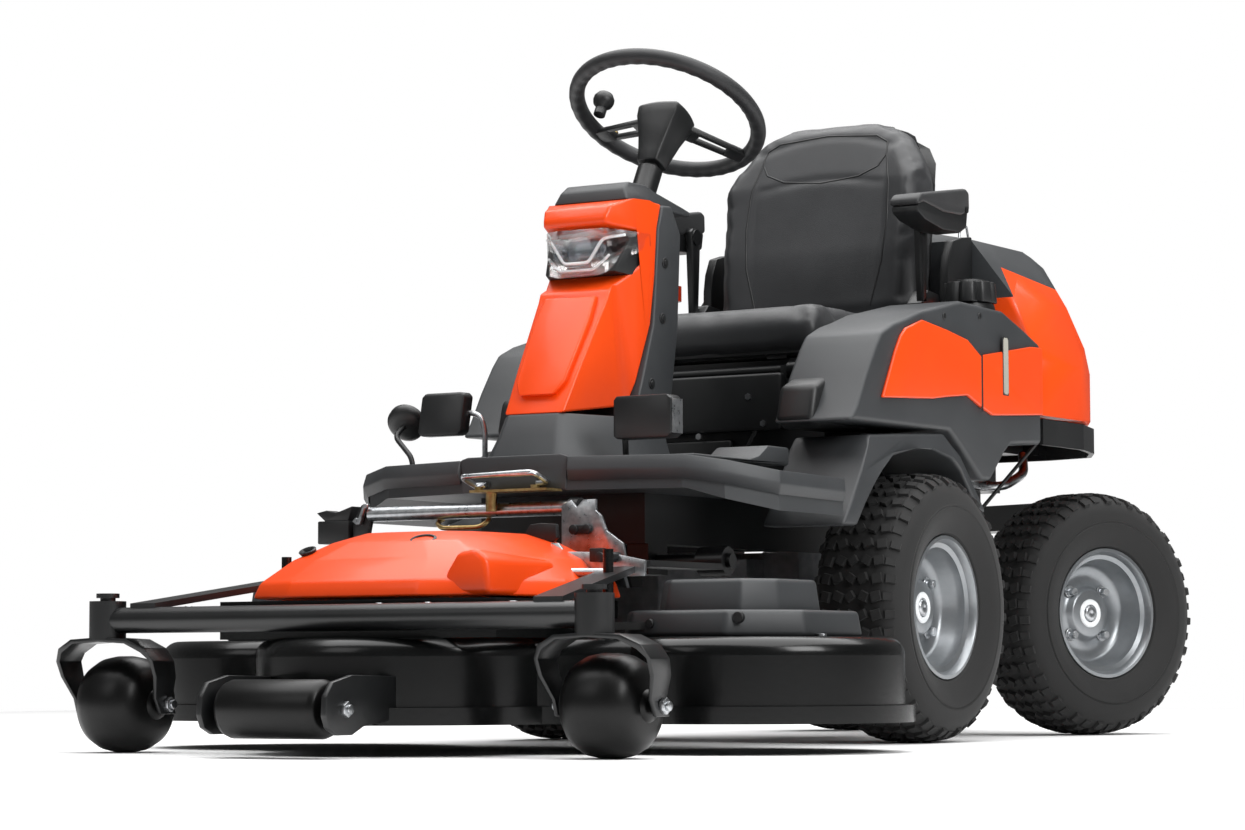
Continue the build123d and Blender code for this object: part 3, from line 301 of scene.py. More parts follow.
NODE_FINISHES: dict[str, Finish] = {
    "main_frame": POWDER_COAT, "front_axle": CAST_ALLOY, "rear_axle": POWDER_COAT, "floor_platform": GREY_PP,
    "fender_left": GREY_PP, "fender_right": GREY_PP, "side_frame_left": GREY_PP, "side_frame_right": GREY_PP,
    "side_panel_left": ORANGE_ASA, "side_panel_right": ORANGE_ASA, "fuel_tank": TANK_PE, "fuel_cap": BLACK_PP,
    "rear_bumper": GREY_PP, "hood": ORANGE_ASA, "air_grille": BLACK_PP, "engine": CAST_ALLOY,
    "muffler": POWDER_COAT, "seat_box": BLACK_PP, "battery": BLACK_PP, "console_base": GREY_PP,
    "console_shell": ORANGE_ASA, "console_cap": GREY_PP, "headlight_unit": LAMP_BOWL,
    "headlight_lens": CLEAR_PC, "steering_column": POWDER_COAT, "steering_wheel": GRIP_FOAM,
    "spinner_knob": BLACK_PP, "seat_plate": POWDER_COAT, "seat_cushion": SEAT_VINYL, "seat_back": SEAT_VINYL,
    "armrest_left": GRIP_FOAM, "armrest_right": GRIP_FOAM, "pedal_brake": POWDER_COAT,
    "pedal_reverse": POWDER_COAT, "pedal_forward": POWDER_COAT, "pto_knob": RED_ABS, "hook_bar": ZINC_PLATE,
    "latch_bail": ZINC_PLATE, "deck_shell": DECK_ENAMEL, "deck_rail": DECK_ENAMEL, "deck_cover": ORANGE_ASA,
    "belt_covers": BLACK_PP, "drive_belt": TURF_RUBBER, "roller": CASTER_RUBBER, "lift_frame": POWDER_COAT,
    "blade_centre": BLADE_STEEL, "blade_left": BLADE_STEEL, "blade_right": BLADE_STEEL,
    "caster_fork_left": POWDER_COAT, "caster_fork_right": POWDER_COAT,
    "caster_wheel_left": CASTER_RUBBER, "caster_wheel_right": CASTER_RUBBER,
    "rim_front_left": SILVER_LACQUER, "rim_front_right": SILVER_LACQUER, "rim_rear_left": SILVER_LACQUER,
    "rim_rear_right": SILVER_LACQUER, "tyre_front_left": TURF_RUBBER, "tyre_front_right": TURF_RUBBER,
    "tyre_rear_left": TURF_RUBBER, "tyre_rear_right": TURF_RUBBER,
}


# ---- Mesh work --------------------------------------------------------------------


def add_block(bm: bmesh.types.BMesh, low: Sequence[float], high: Sequence[float],
              turn: Matrix | None = None) -> list[bmesh.types.BMVert]:
    """Add a rectangular block between two corners given in millimetres.

    Args:
        bm: Mesh being built.
        low: Lowest corner.
        high: Highest corner.
        turn: Rotation about the block's middle.

    Returns:
        The block's vertices.
    """
    middle = spot(*[(a + b) / 2 for a, b in zip(low, high)])
    size = Matrix.Diagonal([abs(b - a) * MM for a, b in zip(low, high)] + [1])
    place = Matrix.Translation(middle) @ (turn or Matrix.Identity(4)) @ size
    return bmesh.ops.create_cube(bm, size=1.0, matrix=place)["verts"]


def add_prism(bm: bmesh.types.BMesh, outline: Iterable[Flat], plane: Plane, start: float,
              end: float) -> list[bmesh.types.BMVert]:
    """Add a plate: an outline in one plane, extruded between two offsets, all in millimetres.

    Args:
        bm: Mesh being built.
        outline: Corners in the plane.
        plane: Plane of the outline.
        start: Offset of the first face along the plane's normal.
        end: Offset of the last face.

    Returns:
        The plate's vertices.
    """
    first, second, depth = plane.value
    corners = []
    for a, b in outline:
        place = [0.0, 0.0, 0.0]
        place[first], place[second], place[depth] = a, b, start
        corners.append(bm.verts.new(spot(*place)))
    face = bm.faces.new(corners)
    moved = [v for v in bmesh.ops.extrude_face_region(bm, geom=[face])["geom"]
             if isinstance(v, bmesh.types.BMVert)]
    step = Vector((0.0, 0.0, 0.0))
    step[depth] = (end - start) * MM
    bmesh.ops.translate(bm, verts=moved, vec=step)
    return corners + moved


def add_lathe(bm: bmesh.types.BMesh, profile: Iterable[Flat], place: Matrix,
              steps: int = 48) -> list[bmesh.types.BMVert]:
    """Add a turned shape: a closed or axis-to-axis profile spun about the local X axis.

    Args:
        bm: Mesh being built.
        profile: Pairs of millimetres along the axis and away from it.
        place: Where the local axes lie, in metres.
        steps: Number of facets round the axis.

    Returns:
        The shape's vertices.
    """
    before = set(bm.verts)
    verts = [bm.verts.new((a * MM, 0.0, r * MM)) for a, r in profile]
    edges = [bm.edges.new(pair) for pair in zip(verts, verts[1:])]
    bmesh.ops.spin(bm, geom=verts + edges, cent=(0, 0, 0), axis=(1, 0, 0), angle=math.tau, steps=steps,
                   use_merge=True, use_duplicate=False)
    made = [v for v in bm.verts if v not in before]
    bmesh.ops.remove_doubles(bm, verts=made, dist=1e-6)
    made = [v for v in bm.verts if v not in before]
    bmesh.ops.transform(bm, matrix=place, verts=made)
    return made


def add_rod(bm: bmesh.types.BMesh, start: Sequence[float], end: Sequence[float], radius: float,
            end_radius: float | None = None, segments: int = 20) -> list[bmesh.types.BMVert]:
    """Add a round bar or cone between two points given in millimetres.

    Args:
        bm: Mesh being built.
        start: First end.
        end: Second end.
        radius: Radius at the first end.
        end_radius: Radius at the second end, if it differs.
        segments: Number of facets.

    Returns:
        The bar's vertices.
    """
    a, b = spot(*start), spot(*end)
    turn = (b - a).to_track_quat("Z", "Y").to_matrix().to_4x4()
    place = Matrix.Translation((a + b) / 2) @ turn
    return bmesh.ops.create_cone(bm, cap_ends=True, segments=segments, radius1=radius * MM,
                                 radius2=(end_radius or radius) * MM, depth=(b - a).length,
                                 matrix=place)["verts"]


def facing(place: Vector, direction: Point) -> Matrix:
    """Frame at a place with its X axis along a direction."""
    return Matrix.Translation(place) @ Vector(direction).to_track_quat("X", "Z").to_matrix().to_4x4()


def round_edges(bm: bmesh.types.BMesh, width: float, segments: int = 2, angle: float = 25.0) -> None:
    """Bevel every edge sharper than an angle.

    Args:
        bm: Mesh being built.
        width: Bevel width in millimetres.
        segments: Facets across the bevel.
        angle: Smallest edge angle that is bevelled, in degrees.
    """
    sharp = [e for e in bm.edges if e.is_manifold and e.calc_face_angle(0.0) > math.radians(angle)]
    bmesh.ops.bevel(bm, geom=sharp, offset=width * MM, offset_type="OFFSET", segments=segments,
                    profile=0.5, affect="EDGES", material=-1, clamp_overlap=True)


@dataclass
class Assembly:
    """Base of every sub-assembly: keeps its pieces and finishes their meshes."""

    pieces: list[bpy.types.Object] = field(default_factory=list, init=False)

    def piece(self, name: str, bm: bmesh.types.BMesh, finish: Finish, body: str,
              stands_for: Sequence[str] = (), levels: int = 0, smooth: float = 35.0) -> bpy.types.Object:
        """Turn a bmesh into a finished piece on its body.

        Args:
            name: Name of the piece.
            bm: Mesh, which is freed.
            finish: Material finish.
            body: CAD body it moves with.
            stands_for: CAD nodes it replaces.
            levels: Subdivision levels.
            smooth: Angle in degrees below which edges are shaded smooth.

        Returns:
            The new object.
        """
        bmesh.ops.recalc_face_normals(bm, faces=bm.faces[:])
        mesh = bpy.data.meshes.new(name)
        bm.to_mesh(mesh)
        bm.free()
        obj = bpy.data.objects.new(name, mesh)
        bpy.context.scene.collection.objects.link(obj)
        if levels:
            rounder = obj.modifiers.new("rounding", "SUBSURF")
            rounder.levels = rounder.render_levels = levels
            mesh.shade_smooth()
        else:
            mesh.shade_smooth()
            mesh.set_sharp_from_angle(angle=math.radians(smooth))
        return self.place(obj, finish, body, stands_for)

    def place(self, obj: bpy.types.Object, finish: Finish, body: str,
              stands_for: Sequence[str] = ()) -> bpy.types.Object:
        """Dress an object, hang it on its body and log it."""
        obj.data.materials.clear()
        obj.data.materials.append(finish.build())
        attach(obj, body)
        if stands_for:
            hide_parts(*stands_for)
        self.pieces.append(obj)
        log.info("%s: %s in %s", type(self).__name__, obj.name, finish.name)
        return obj

    def wire(self, name: str, points: Sequence[Point], radius: float, finish: Finish, body: str,
             bend: bool = True) -> bpy.types.Object:
        """Add a bent bar along points given in millimetres.

        Args:
            name: Name of the piece.
            points: Route of the bar.
            radius: Radius in millimetres.
            finish: Material finish.
            body: CAD body it moves with.
            bend: Round the corners as a bent bar does.

        Returns:
            The new object.
        """
        route = list(points)
        if bend:
            eased = [route[0]]
            for a, b, c in zip(route, route[1:], route[2:]):
                va, vb, vc = Vector(a), Vector(b), Vector(c)
                reach = min(radius * 3, (vb - va).length * 0.45, (vc - vb).length * 0.45)
                start, stop = vb + (va - vb).normalized() * reach, vb + (vc - vb).normalized() * reach
                for share in (0.0, 0.25, 0.5, 0.75, 1.0):
                    low, high = start.lerp(vb, share), vb.lerp(stop, share)
                    eased.append(tuple(low.lerp(high, share)))
            route = eased + [route[-1]]
        curve = bpy.data.curves.new(name, "CURVE")
        curve.dimensions, curve.bevel_depth, curve.bevel_resolution = "3D", radius * MM, 5
        curve.use_fill_caps = True
        line = curve.splines.new("POLY")
        line.points.add(len(route) - 1)
        for target, point in zip(line.points, route):
            target.co = (*spot(*point), 1.0)
        source = bpy.data.objects.new(name + "_route", curve)
        mesh = bpy.data.meshes.new_from_object(source)
        bpy.data.objects.remove(source)
        obj = bpy.data.objects.new(name, mesh)
        bpy.context.scene.collection.objects.link(obj)
        mesh.name = name
        mesh.shade_smooth()
        mesh.set_sharp_from_angle(angle=math.radians(50))
        return self.place(obj, finish, body)


# ---- Wheels -----------------------------------------------------------------------


@dataclass
class RoadWheel(Assembly):
    """One turf wheel: a carcass with rows of blocks, and a dished rim with its bolts."""

    end: str
    side: Side
    axle_y: float = 0.0
    turn: float = 0.0
    offset: float = 355.0
    height: float = 231.5
    radius: float = 231.5
    block_depth: float = 9.0
    pitches: int = 46

    def matrix(self) -> Matrix:
        """Place of the wheel's middle, with local +X pointing outwards."""
        steer = Matrix.Rotation(math.radians(self.turn), 4, "Z")
        flip = Matrix.Rotation(0.0 if self.side is Side.LEFT else math.pi, 4, "Z")
        hub = Matrix.Translation(Vector((self.side.value * self.offset, 0, self.height)) * MM)
        return Matrix.Translation(spot(0, self.axle_y, 0)) @ steer @ hub @ flip

    def carcass(self) -> None:
        """Spin the casing with its rim bead, sidewall rings and shoulders, then stand the blocks on it."""
        r, d = self.radius, self.block_depth
        half = [(61.5, 118.6), (61.5, 124), (68, 128), (73, 138), (79, 150), (83.5, 162), (84.6, 170),
                (82.5, 172), (84, 176), (82, 190), (77, 203), (70, r - 20), (62, r - 13), (50, r - d),
                (25, r - d + 1), (0, r - d + 1.4)]
        profile = half + [(-x, z) for x, z in reversed(half[:-1])] + [half[0]]
        bm = bmesh.new()
        add_lathe(bm, profile, self.matrix(), 96)
        step = math.tau / self.pitches
        for index in range(self.pitches):
            self.pitch(bm, index * step, 1 if index % 2 else -1)
        self.piece(f"tyre_{self.end}_{self.side.word}_turf", bm, TURF_RUBBER,
                   f"wheel_{self.end}_{self.side.word}", (f"tyre_{self.end}_{self.side.word}",), smooth=28)

    def pitch(self, bm: bmesh.types.BMesh, angle: float, sway: int) -> None:
        """Stand one pitch of tread blocks round the casing.

        Args:
            bm: Mesh being built.
            angle: Place round the wheel.
            sway: Which way the middle blocks lean.
        """
        base = self.matrix() @ Matrix.Rotation(angle, 4, "X")
        r, d = self.radius, self.block_depth
        rows = [(0, 17, 15, 34 * sway, r - d / 2 - 0.2, 0), (24 + 2 * sway, 18, 17, -24 * sway, r - d / 2 - 0.4, 0),
                (-24 + 2 * sway, 18, 17, -24 * sway, r - d / 2 - 0.4, 0), (47, 19, 19, 14, r - d / 2 - 3.2, 12),
                (-47, 19, 19, -14, r - d / 2 - 3.2, -12), (66 - 2 * sway, 20, 15, 0, r - 16.5, 38),
                (-66 + 2 * sway, 20, 15, 0, r - 16.5, -38)]
        for x, wide, long, lean, height, slope in rows:
            place = (base @ Matrix.Translation(Vector((x, 0, height)) * MM)
                     @ Matrix.Rotation(math.radians(slope), 4, "Y") @ Matrix.Rotation(math.radians(lean), 4, "Z")
                     @ Matrix.Diagonal((wide * MM, long * MM, d * MM, 1)))
            verts = bmesh.ops.create_cube(bm, size=1.0, matrix=place)["verts"]
            middle = sum((v.co for v in verts), Vector()) / 8
            hub = self.matrix().translation
            for v in verts:  # the blocks taper towards their tops
                if (v.co - hub).length > (middle - hub).length:
                    v.co = v.co.lerp(middle, 0.16)

    def rim(self) -> None:
        """Spin the dished rim and its hub, and set the wheel bolts."""
        profile = [(-66, 123), (-62, 123.5), (-61, 118), (-40, 117), (-36, 108), (10, 106), (52, 108), (58, 117.6),
                   (62, 118.4), (63, 123), (66, 123), (66.5, 117), (62, 113.5), (54, 111), (50, 103),
                   (34, 101), (28, 96), (12, 94), (6, 88), (1, 70), (6, 56), (9, 50), (18, 46), (20, 42),
                   (20, 22), (16, 20), (16, 0)]
        bm = bmesh.new()
        place = self.matrix()
        add_lathe(bm, profile, place, 72)
        back = [(16, 0), (-50, 0), (-50, 42), (-6, 42), (-6, 88), (-8, 98), (-30, 104), (-66, 114), (-66, 123)]
        add_lathe(bm, back, place, 72)
        bmesh.ops.remove_doubles(bm, verts=bm.verts[:], dist=1e-5)
        self.piece(f"rim_{self.end}_{self.side.word}_dish", bm, SILVER_LACQUER,
                   f"wheel_{self.end}_{self.side.word}", (f"rim_{self.end}_{self.side.word}",), smooth=40)
        bm = bmesh.new()
        for index in range(4):
            around = place @ Matrix.Rotation(math.radians(45 + 90 * index), 4, "X")
            nut = around @ Matrix.Translation(Vector((24, 0, 58)) * MM) @ Matrix.Rotation(math.pi / 2, 4, "Y")
            bmesh.ops.create_cone(bm, cap_ends=True, segments=6, radius1=9 * MM, radius2=8 * MM,
                                  depth=14 * MM, matrix=nut @ Matrix.Translation((0, 0, -0.008)))
            bmesh.ops.create_cone(bm, cap_ends=True, segments=20, radius1=12 * MM, radius2=12 * MM,
                                  depth=3 * MM, matrix=nut @ Matrix.Translation((0, 0, -0.016)))
        add_lathe(bm, [(16, 0), (22, 0), (24, 4), (24, 12), (21, 15), (16, 16)], place, 32)
        round_edges(bm, 0.8, 1)
        self.piece(f"wheel_{self.end}_{self.side.word}_nuts", bm, ZINC_PLATE,
                   f"wheel_{self.end}_{self.side.word}")
        bm = bmesh.new()
        add_lathe(bm, [(14, 17), (21.5, 17), (22.5, 19), (22.5, 25), (21, 27), (14, 27)], place, 40)
        self.piece(f"wheel_{self.end}_{self.side.word}_seal", bm, LIGHT_GUIDE,
                   f"wheel_{self.end}_{self.side.word}")

    def build(self) -> None:
        """Build the tyre and the rim."""
        self.carcass()
        self.rim()


# ---- Steering ---------------------------------------------------------------------


@dataclass
class SteeringWheel(Assembly):
    """Foam-gripped rim, slotted spokes, tapering hub cover and the spinner knob."""

    tilt: float = 28.8
    centre: Point = (0.0, -221.0, 1092.0)
    radius: float = 163.0
    grip: float = 14.6

    def frame(self) -> Matrix:
        """Local axes of the wheel: +Z leaves its face towards the driver."""
        return Matrix.Translation(spot(*self.centre)) @ Matrix.Rotation(math.radians(-self.tilt), 4, "X")

    def rim(self) -> None:
        """Spin the rim, swelling it where the fingers lie."""
        bm = bmesh.new()
        ring = bmesh.ops.create_circle(bm, segments=18, radius=self.grip * MM)["verts"]
        bmesh.ops.rotate(bm, verts=ring, cent=(0, 0, 0), matrix=Matrix.Rotation(math.pi / 2, 3, "X"))
        bmesh.ops.translate(bm, verts=ring, vec=(self.radius * MM, 0, 0))
        edges = [e for e in bm.edges if e.verts[0] in ring]
        bmesh.ops.spin(bm, geom=ring + edges, cent=(0, 0, 0), axis=(0, 0, 1), angle=math.tau, steps=160,
                       use_merge=True, use_duplicate=False)
        bmesh.ops.remove_doubles(bm, verts=bm.verts[:], dist=1e-6)
        for v in bm.verts:
            around = math.atan2(v.co.y, v.co.x)
            core = Vector((math.cos(around), math.sin(around), 0)) * self.radius * MM
            out = v.co - core
            under = max(0.0, -out.z / (self.grip * MM))
            v.co = core + out * (0.90 + 0.09 * under * (0.5 + 0.5 * math.cos(around * 40)) + 0.03)
        bmesh.ops.transform(bm, matrix=self.frame(), verts=bm.verts[:])
        self.piece("steering_rim_grip", bm, GRIP_FOAM, "steering", ("steering_wheel",), smooth=60)

    def spokes(self) -> None:
        """Cast the two slotted spokes."""
        bm = bmesh.new()
        for angle in (56, 168):
            turn = Matrix.Rotation(math.radians(angle), 4, "Z")
            made: list[bmesh.types.BMVert] = []
            for y, z, wide in ((-13, -13, 9), (13, -13, 9)):
                place = Matrix.Translation(Vector((92, y, z)) * MM) @ Matrix.Diagonal((0.134, wide * MM, 0.011, 1))
                made += bmesh.ops.create_cube(bm, size=1.0, matrix=place)["verts"]
            for x, long in ((44, 44), (142, 36)):
                place = Matrix.Translation(Vector((x, 0, -13)) * MM) @ Matrix.Diagonal((long * MM, 0.034, 0.0125, 1))
                made += bmesh.ops.create_cube(bm, size=1.0, matrix=place)["verts"]
            for v in made:
                reach = v.co.x / (self.radius * MM)
                v.co.z += (0.013 * max(0.0, reach - 0.45) - 0.012 * max(0.0, 0.5 - reach))
                v.co.y *= 1.15 - 0.3 * reach
            bmesh.ops.transform(bm, matrix=turn, verts=made)
        round_edges(bm, 3.0, 2)
        bmesh.ops.transform(bm, matrix=self.frame(), verts=bm.verts[:])
        self.piece("steering_spokes", bm, BLACK_PP, "steering")

    def hub(self) -> None:
        """Loft the hub cover that narrows down to the shaft."""
        bm = bmesh.new()
        levels = ((2, 40, 34), (-4, 45, 39), (-22, 44, 37), (-58, 33, 29), (-92, 25, 24), (-112, 22, 22))
        previous: list[bmesh.types.BMEdge] = []
        for z, wide, deep in levels:
            ring = bmesh.ops.create_circle(bm, segments=24, radius=1.0)["verts"]
            for v in ring:
                angle = math.atan2(v.co.y, v.co.x)
                square = max(abs(math.cos(angle)), abs(math.sin(angle))) ** -0.62
                v.co = Vector((math.cos(angle) * wide * square, math.sin(angle) * deep * square, z)) * MM
            edges = [e for e in bm.edges if e.verts[0] in ring and e.verts[1] in ring]
            if previous:
                bmesh.ops.bridge_loops(bm, edges=previous + edges)
            previous = edges
        bmesh.ops.holes_fill(bm, edges=[e for e in bm.edges if e.is_boundary], sides=0)
        round_edges(bm, 2.5, 2, 40)
        bmesh.ops.transform(bm, matrix=self.frame(), verts=bm.verts[:])
        self.piece("steering_hub_cover", bm, BLACK_PP, "steering", smooth=50)
        bm = bmesh.new()
        lid = bmesh.ops.create_cone(bm, cap_ends=True, segments=40, radius1=0.030, radius2=0.027, depth=0.004,
                                    matrix=Matrix.Translation((0, 0, 0.0035)))["verts"]
        round_edges(bm, 0.8, 2)
        del lid
        bmesh.ops.create_cone(bm, cap_ends=True, segments=28, radius1=0.014, radius2=0.012, depth=0.28,
                              matrix=Matrix.Translation((0, 0, -0.24)))
        bmesh.ops.transform(bm, matrix=self.frame(), verts=bm.verts[:])
        self.piece("steering_hub_lid_and_shaft", bm, GRIP_FOAM, "steering")

    def knob(self) -> None:
        """Turn the spinner knob with its neck, and the brass screw beside it."""
        stand = (self.frame() @ Matrix.Rotation(math.radians(182), 4, "Z")
                 @ Matrix.Translation(Vector((141, 0, 0)) * MM) @ Matrix.Rotation(-math.pi / 2, 4, "Y"))
        bm = bmesh.new()
        add_lathe(bm, [(10, 0), (10, 10.5), (22, 10.5), (24, 9), (28, 12), (33, 17), (40, 19), (46, 18.6),
                       (54, 14), (58, 8), (59.5, 0)], stand, 40)
        self.piece("spinner_knob_ball", bm, BLACK_PP, "spinner", ("spinner_knob",), smooth=50)
        bm = bmesh.new()
        side = (self.frame() @ Matrix.Rotation(math.radians(160), 4, "Z")
                @ Matrix.Translation(Vector((148, 0, 8)) * MM) @ Matrix.Rotation(-math.pi / 2, 4, "Y"))
        add_lathe(bm, [(0, 0), (0, 6), (5, 6), (7, 4.5), (7, 0)], side, 24)
        self.piece("spinner_clamp_screw", bm, YELLOW_ZINC, "steering")

    def build(self) -> None:
        """Build the whole wheel."""
        self.rim()
        self.spokes()
        self.hub()
        self.knob()


# ---- Seat -------------------------------------------------------------------------


@dataclass
class DriverSeat(Assembly):
    """Moulded seat: padded cushion and back in vinyl, piping, shell, posts and armrests."""

    voxel_mm: float = 7.0
    pressure: float = 4.0
    cap_mm: float = 9.0

    def pad(self, name: str, bm: bmesh.types.BMesh, node: str, shape: Callable[[Vector], Vector],
            fill: float) -> bpy.types.Object:
        """Blow a foam pad up like its sewn cover and press its seams in.

        Args:
            name: Name of the piece.
            bm: Slightly small pad shape.
            node: CAD node that it replaces.
            shape: Moves one finished point, in millimetres from below the front axle.
            fill: How tightly the pad is filled; not used.

        Returns:
            The pad.
        """
        obj = self.piece(name, bm, SEAT_VINYL, "seat", (node,))
        remesh = obj.modifiers.new("voxels", "REMESH")
        remesh.mode, remesh.voxel_size, remesh.use_smooth_shade = "VOXEL", self.voxel_mm * MM, True
        self.apply(obj)
        start = [v.co.copy() for v in obj.data.vertices]
        cloth = obj.modifiers.new("cover", "CLOTH")
        settings = cloth.settings
        settings.quality, settings.use_pressure = 5, True
        settings.uniform_pressure_force = self.pressure
        settings.effector_weights.gravity = 0.0
        cloth.point_cache.frame_start, cloth.point_cache.frame_end = 1, 14
        for frame in range(1, 15):
            bpy.context.scene.frame_set(frame)
        self.apply(obj)
        bpy.context.scene.frame_set(1)
        cap = self.cap_mm * MM
        for vertex, rest in zip(obj.data.vertices, start):
            move = vertex.co - rest
            if move.length > cap:
                vertex.co = rest + move.normalized() * cap
        back = spot(0, 0, 0)
        for vertex in obj.data.vertices:
            vertex.co = shape((vertex.co - back) / MM) * MM + back
        bm = bmesh.new()
        bm.from_mesh(obj.data)
        for _ in range(3):
            bmesh.ops.smooth_vert(bm, verts=bm.verts[:], factor=0.5, use_axis_x=True, use_axis_y=True,
                                  use_axis_z=True)
        bm.to_mesh(obj.data)
        bm.free()
        rounder = obj.modifiers.new("rounding", "SUBSURF")
        rounder.levels = rounder.render_levels = 1
        obj.data.shade_smooth()
        obj.data.materials.clear()
        obj.data.materials.append(SEAT_VINYL.build())
        return obj

    @staticmethod
    def apply(obj: bpy.types.Object) -> None:
        """Bake the modifiers into the mesh."""
        graph = bpy.context.evaluated_depsgraph_get()
        baked = bpy.data.meshes.new_from_object(obj.evaluated_get(graph))
        obj.modifiers.clear()
        old = obj.data
        obj.data = baked
        bpy.data.meshes.remove(old)

    @staticmethod
    def groove(distance: float, width: float, depth: float) -> float:
        """Depth of a pressed channel at a distance from its line."""
        return depth * math.exp(-(distance / width) ** 2)

    @staticmethod
    def crown(height: float) -> float:
        """Share of the back's full width that is left at a height."""
        high = min(max((height - 985) / 180, 0.0), 1.0)
        return max(1 - high ** 2.6, 0.02) ** 0.42

    def seam(self, pad: bpy.types.Object, name: str, line: Sequence[Flat]) -> None:
        """Lay a sewn cord on the front of the back pad.

        Args:
            pad: Pad that the cord lies on.
            name: Name of the piece.
            line: Points across and up, in millimetres.
        """
        tree = BVHTree.FromObject(pad, bpy.context.evaluated_depsgraph_get())
        route = []
        for one, two in zip(line, line[1:]):
            for step in range(6):
                share = step / 6
                x, z = one[0] + (two[0] - one[0]) * share, one[1] + (two[1] - one[1]) * share
                place = tree.ray_cast(spot(x, 0, z), Vector((0, 1, 0)))[0]
                if place is not None:
                    route.append((x, place.y / MM - AXLE_FROM_MIDDLE + 0.4, z))
        self.wire(name, route, 1.7, PIPING_VINYL, "seat", bend=False)

    def cushion(self) -> None:
        """Pad the cushion: rolled front, dished middle and raised flanks."""
        bm = bmesh.new()
        outline = [(-92, 682), (-104, 700), (-104, 728), (-86, 750), (-40, 756), (110, 752), (292, 750),
                   (292, 682)]
        add_prism(bm, outline, Plane.SIDE, -224, 224)
        round_edges(bm, 27, 5)

        def shape(p: Vector) -> Vector:
            top = max(0.0, min(1.0, (p.z - 735) / 22))
            dish = 9 * math.exp(-(p.x / 125) ** 2) * math.exp(-((p.y - 120) / 130) ** 2)
            flank = 6 * math.exp(-((abs(p.x) - 190) / 30) ** 2)
            seam = self.groove(abs(abs(p.x) - 158), 3.5, 4.5) + self.groove(p.y + 62, 3.5, 4.0) * (abs(p.x) < 158)
            out = p.copy()
            out.z = min(p.z + top * (flank - dish - seam), 763)
            out.y = max(out.y, -109)
            pull = max(0.0, 1 - abs(p.z - 712) / 40)
            out.x *= 1 - 0.02 * (1 - pull)
            return out

        self.pad("seat_cushion_pad", bm, "seat_cushion", shape, 0.85)

    def backrest(self) -> None:
        """Pad the back: side wings, head panel outlined by a seam, and a lumbar swell."""
        bm = bmesh.new()
        side = [(305, 712), (303, 772), (316, 900), (340, 1035), (380, 1145), (404, 1162), (432, 1160),
                (440, 1142), (412, 1035), (388, 900), (374, 722)]
        add_prism(bm, side, Plane.SIDE, -213, 213)
        for height in (760, 820, 880, 940, 1000, 1030, 1060, 1085, 1105, 1122, 1136, 1148, 1156):
            bmesh.ops.bisect_plane(bm, geom=bm.verts[:] + bm.edges[:] + bm.faces[:], plane_co=spot(0, 0, height),
                                   plane_no=(0, 0, 1))
        for v in bm.verts:
            z = v.co.z / MM
            v.co.x *= self.crown(z)
        round_edges(bm, 26, 3, 50)

        def shape(p: Vector) -> Vector:
            front = max(0.0, min(1.0, (p.y - 330 - (p.z - 900) * 0.24) / -24))
            wing = -15 * math.exp(-((abs(p.x) - 196) / 38) ** 2)
            swell = -7 * math.exp(-((p.z - 850) / 70) ** 2) * math.exp(-(p.x / 120) ** 2)
            high = 1128 - 22 * (p.x / 135) ** 2
            low = 1044 - 14 * (p.x / 135) ** 2
            inside = abs(p.x) < 138
            seam = self.groove(p.z - high, 3.2, 5.0) * inside + self.groove(p.z - low, 3.2, 5.0) * inside
            seam += self.groove(abs(p.x) - 138, 3.2, 5.0) * (low < p.z < high)
            seam += self.groove(abs(p.x) - 128 - (p.z - 780) * 0.045, 3.2, 4.0) * (770 < p.z < low)
            out = p.copy()
            out.y += front * (wing + swell + seam)
            out.y = max(out.y, 300.6 if p.z < 790 else 284)
            return out

        pad = self.pad("seat_back_pad", bm, "seat_back", shape, 0.9)
        self.seam(pad, "head_panel_seam", [(-132, 1085), (-128, 1110), (-104, 1124), (0, 1132), (104, 1124),
                                           (128, 1110), (132, 1085), (118, 1062), (80, 1046), (0, 1038),
                                           (-80, 1046), (-118, 1062), (-132, 1085)])
        for s in (-1, 1):
            self.seam(pad, f"back_seam_{'left' if s > 0 else 'right'}",
                      [(s * 132, 1085), (s * 146, 1030), (s * 150, 960), (s * 144, 880), (s * 118, 780)])

    def shell(self) -> None:
        """Shell behind the back pad, and the tilting base."""
        bm = bmesh.new()
        add_prism(bm, [(388, 740), (398, 900), (424, 1035), (452, 1140), (440, 1158), (428, 1140), (406, 1035),
                       (380, 900), (374, 740)], Plane.SIDE, -200, 200)
        for height in (985, 1030, 1070, 1100, 1122, 1140, 1150):
            bmesh.ops.bisect_plane(bm, geom=bm.verts[:] + bm.edges[:] + bm.faces[:], plane_co=spot(0, 0, height),
                                   plane_no=(0, 0, 1))
        for v in bm.verts:
            v.co.x *= self.crown(v.co.z / MM)
        round_edges(bm, 5, 2)
        self.piece("seat_back_shell", bm, BLACK_PP, "seat")
        bm = bmesh.new()
        add_block(bm, (-205, -78, 676), (205, 285, 684))
        for x in (-150, 110):
            add_block(bm, (x, -70, 668), (x + 40, 280, 677))
        round_edges(bm, 2, 2)
        self.piece("seat_pan", bm, BLACK_PP, "seat")

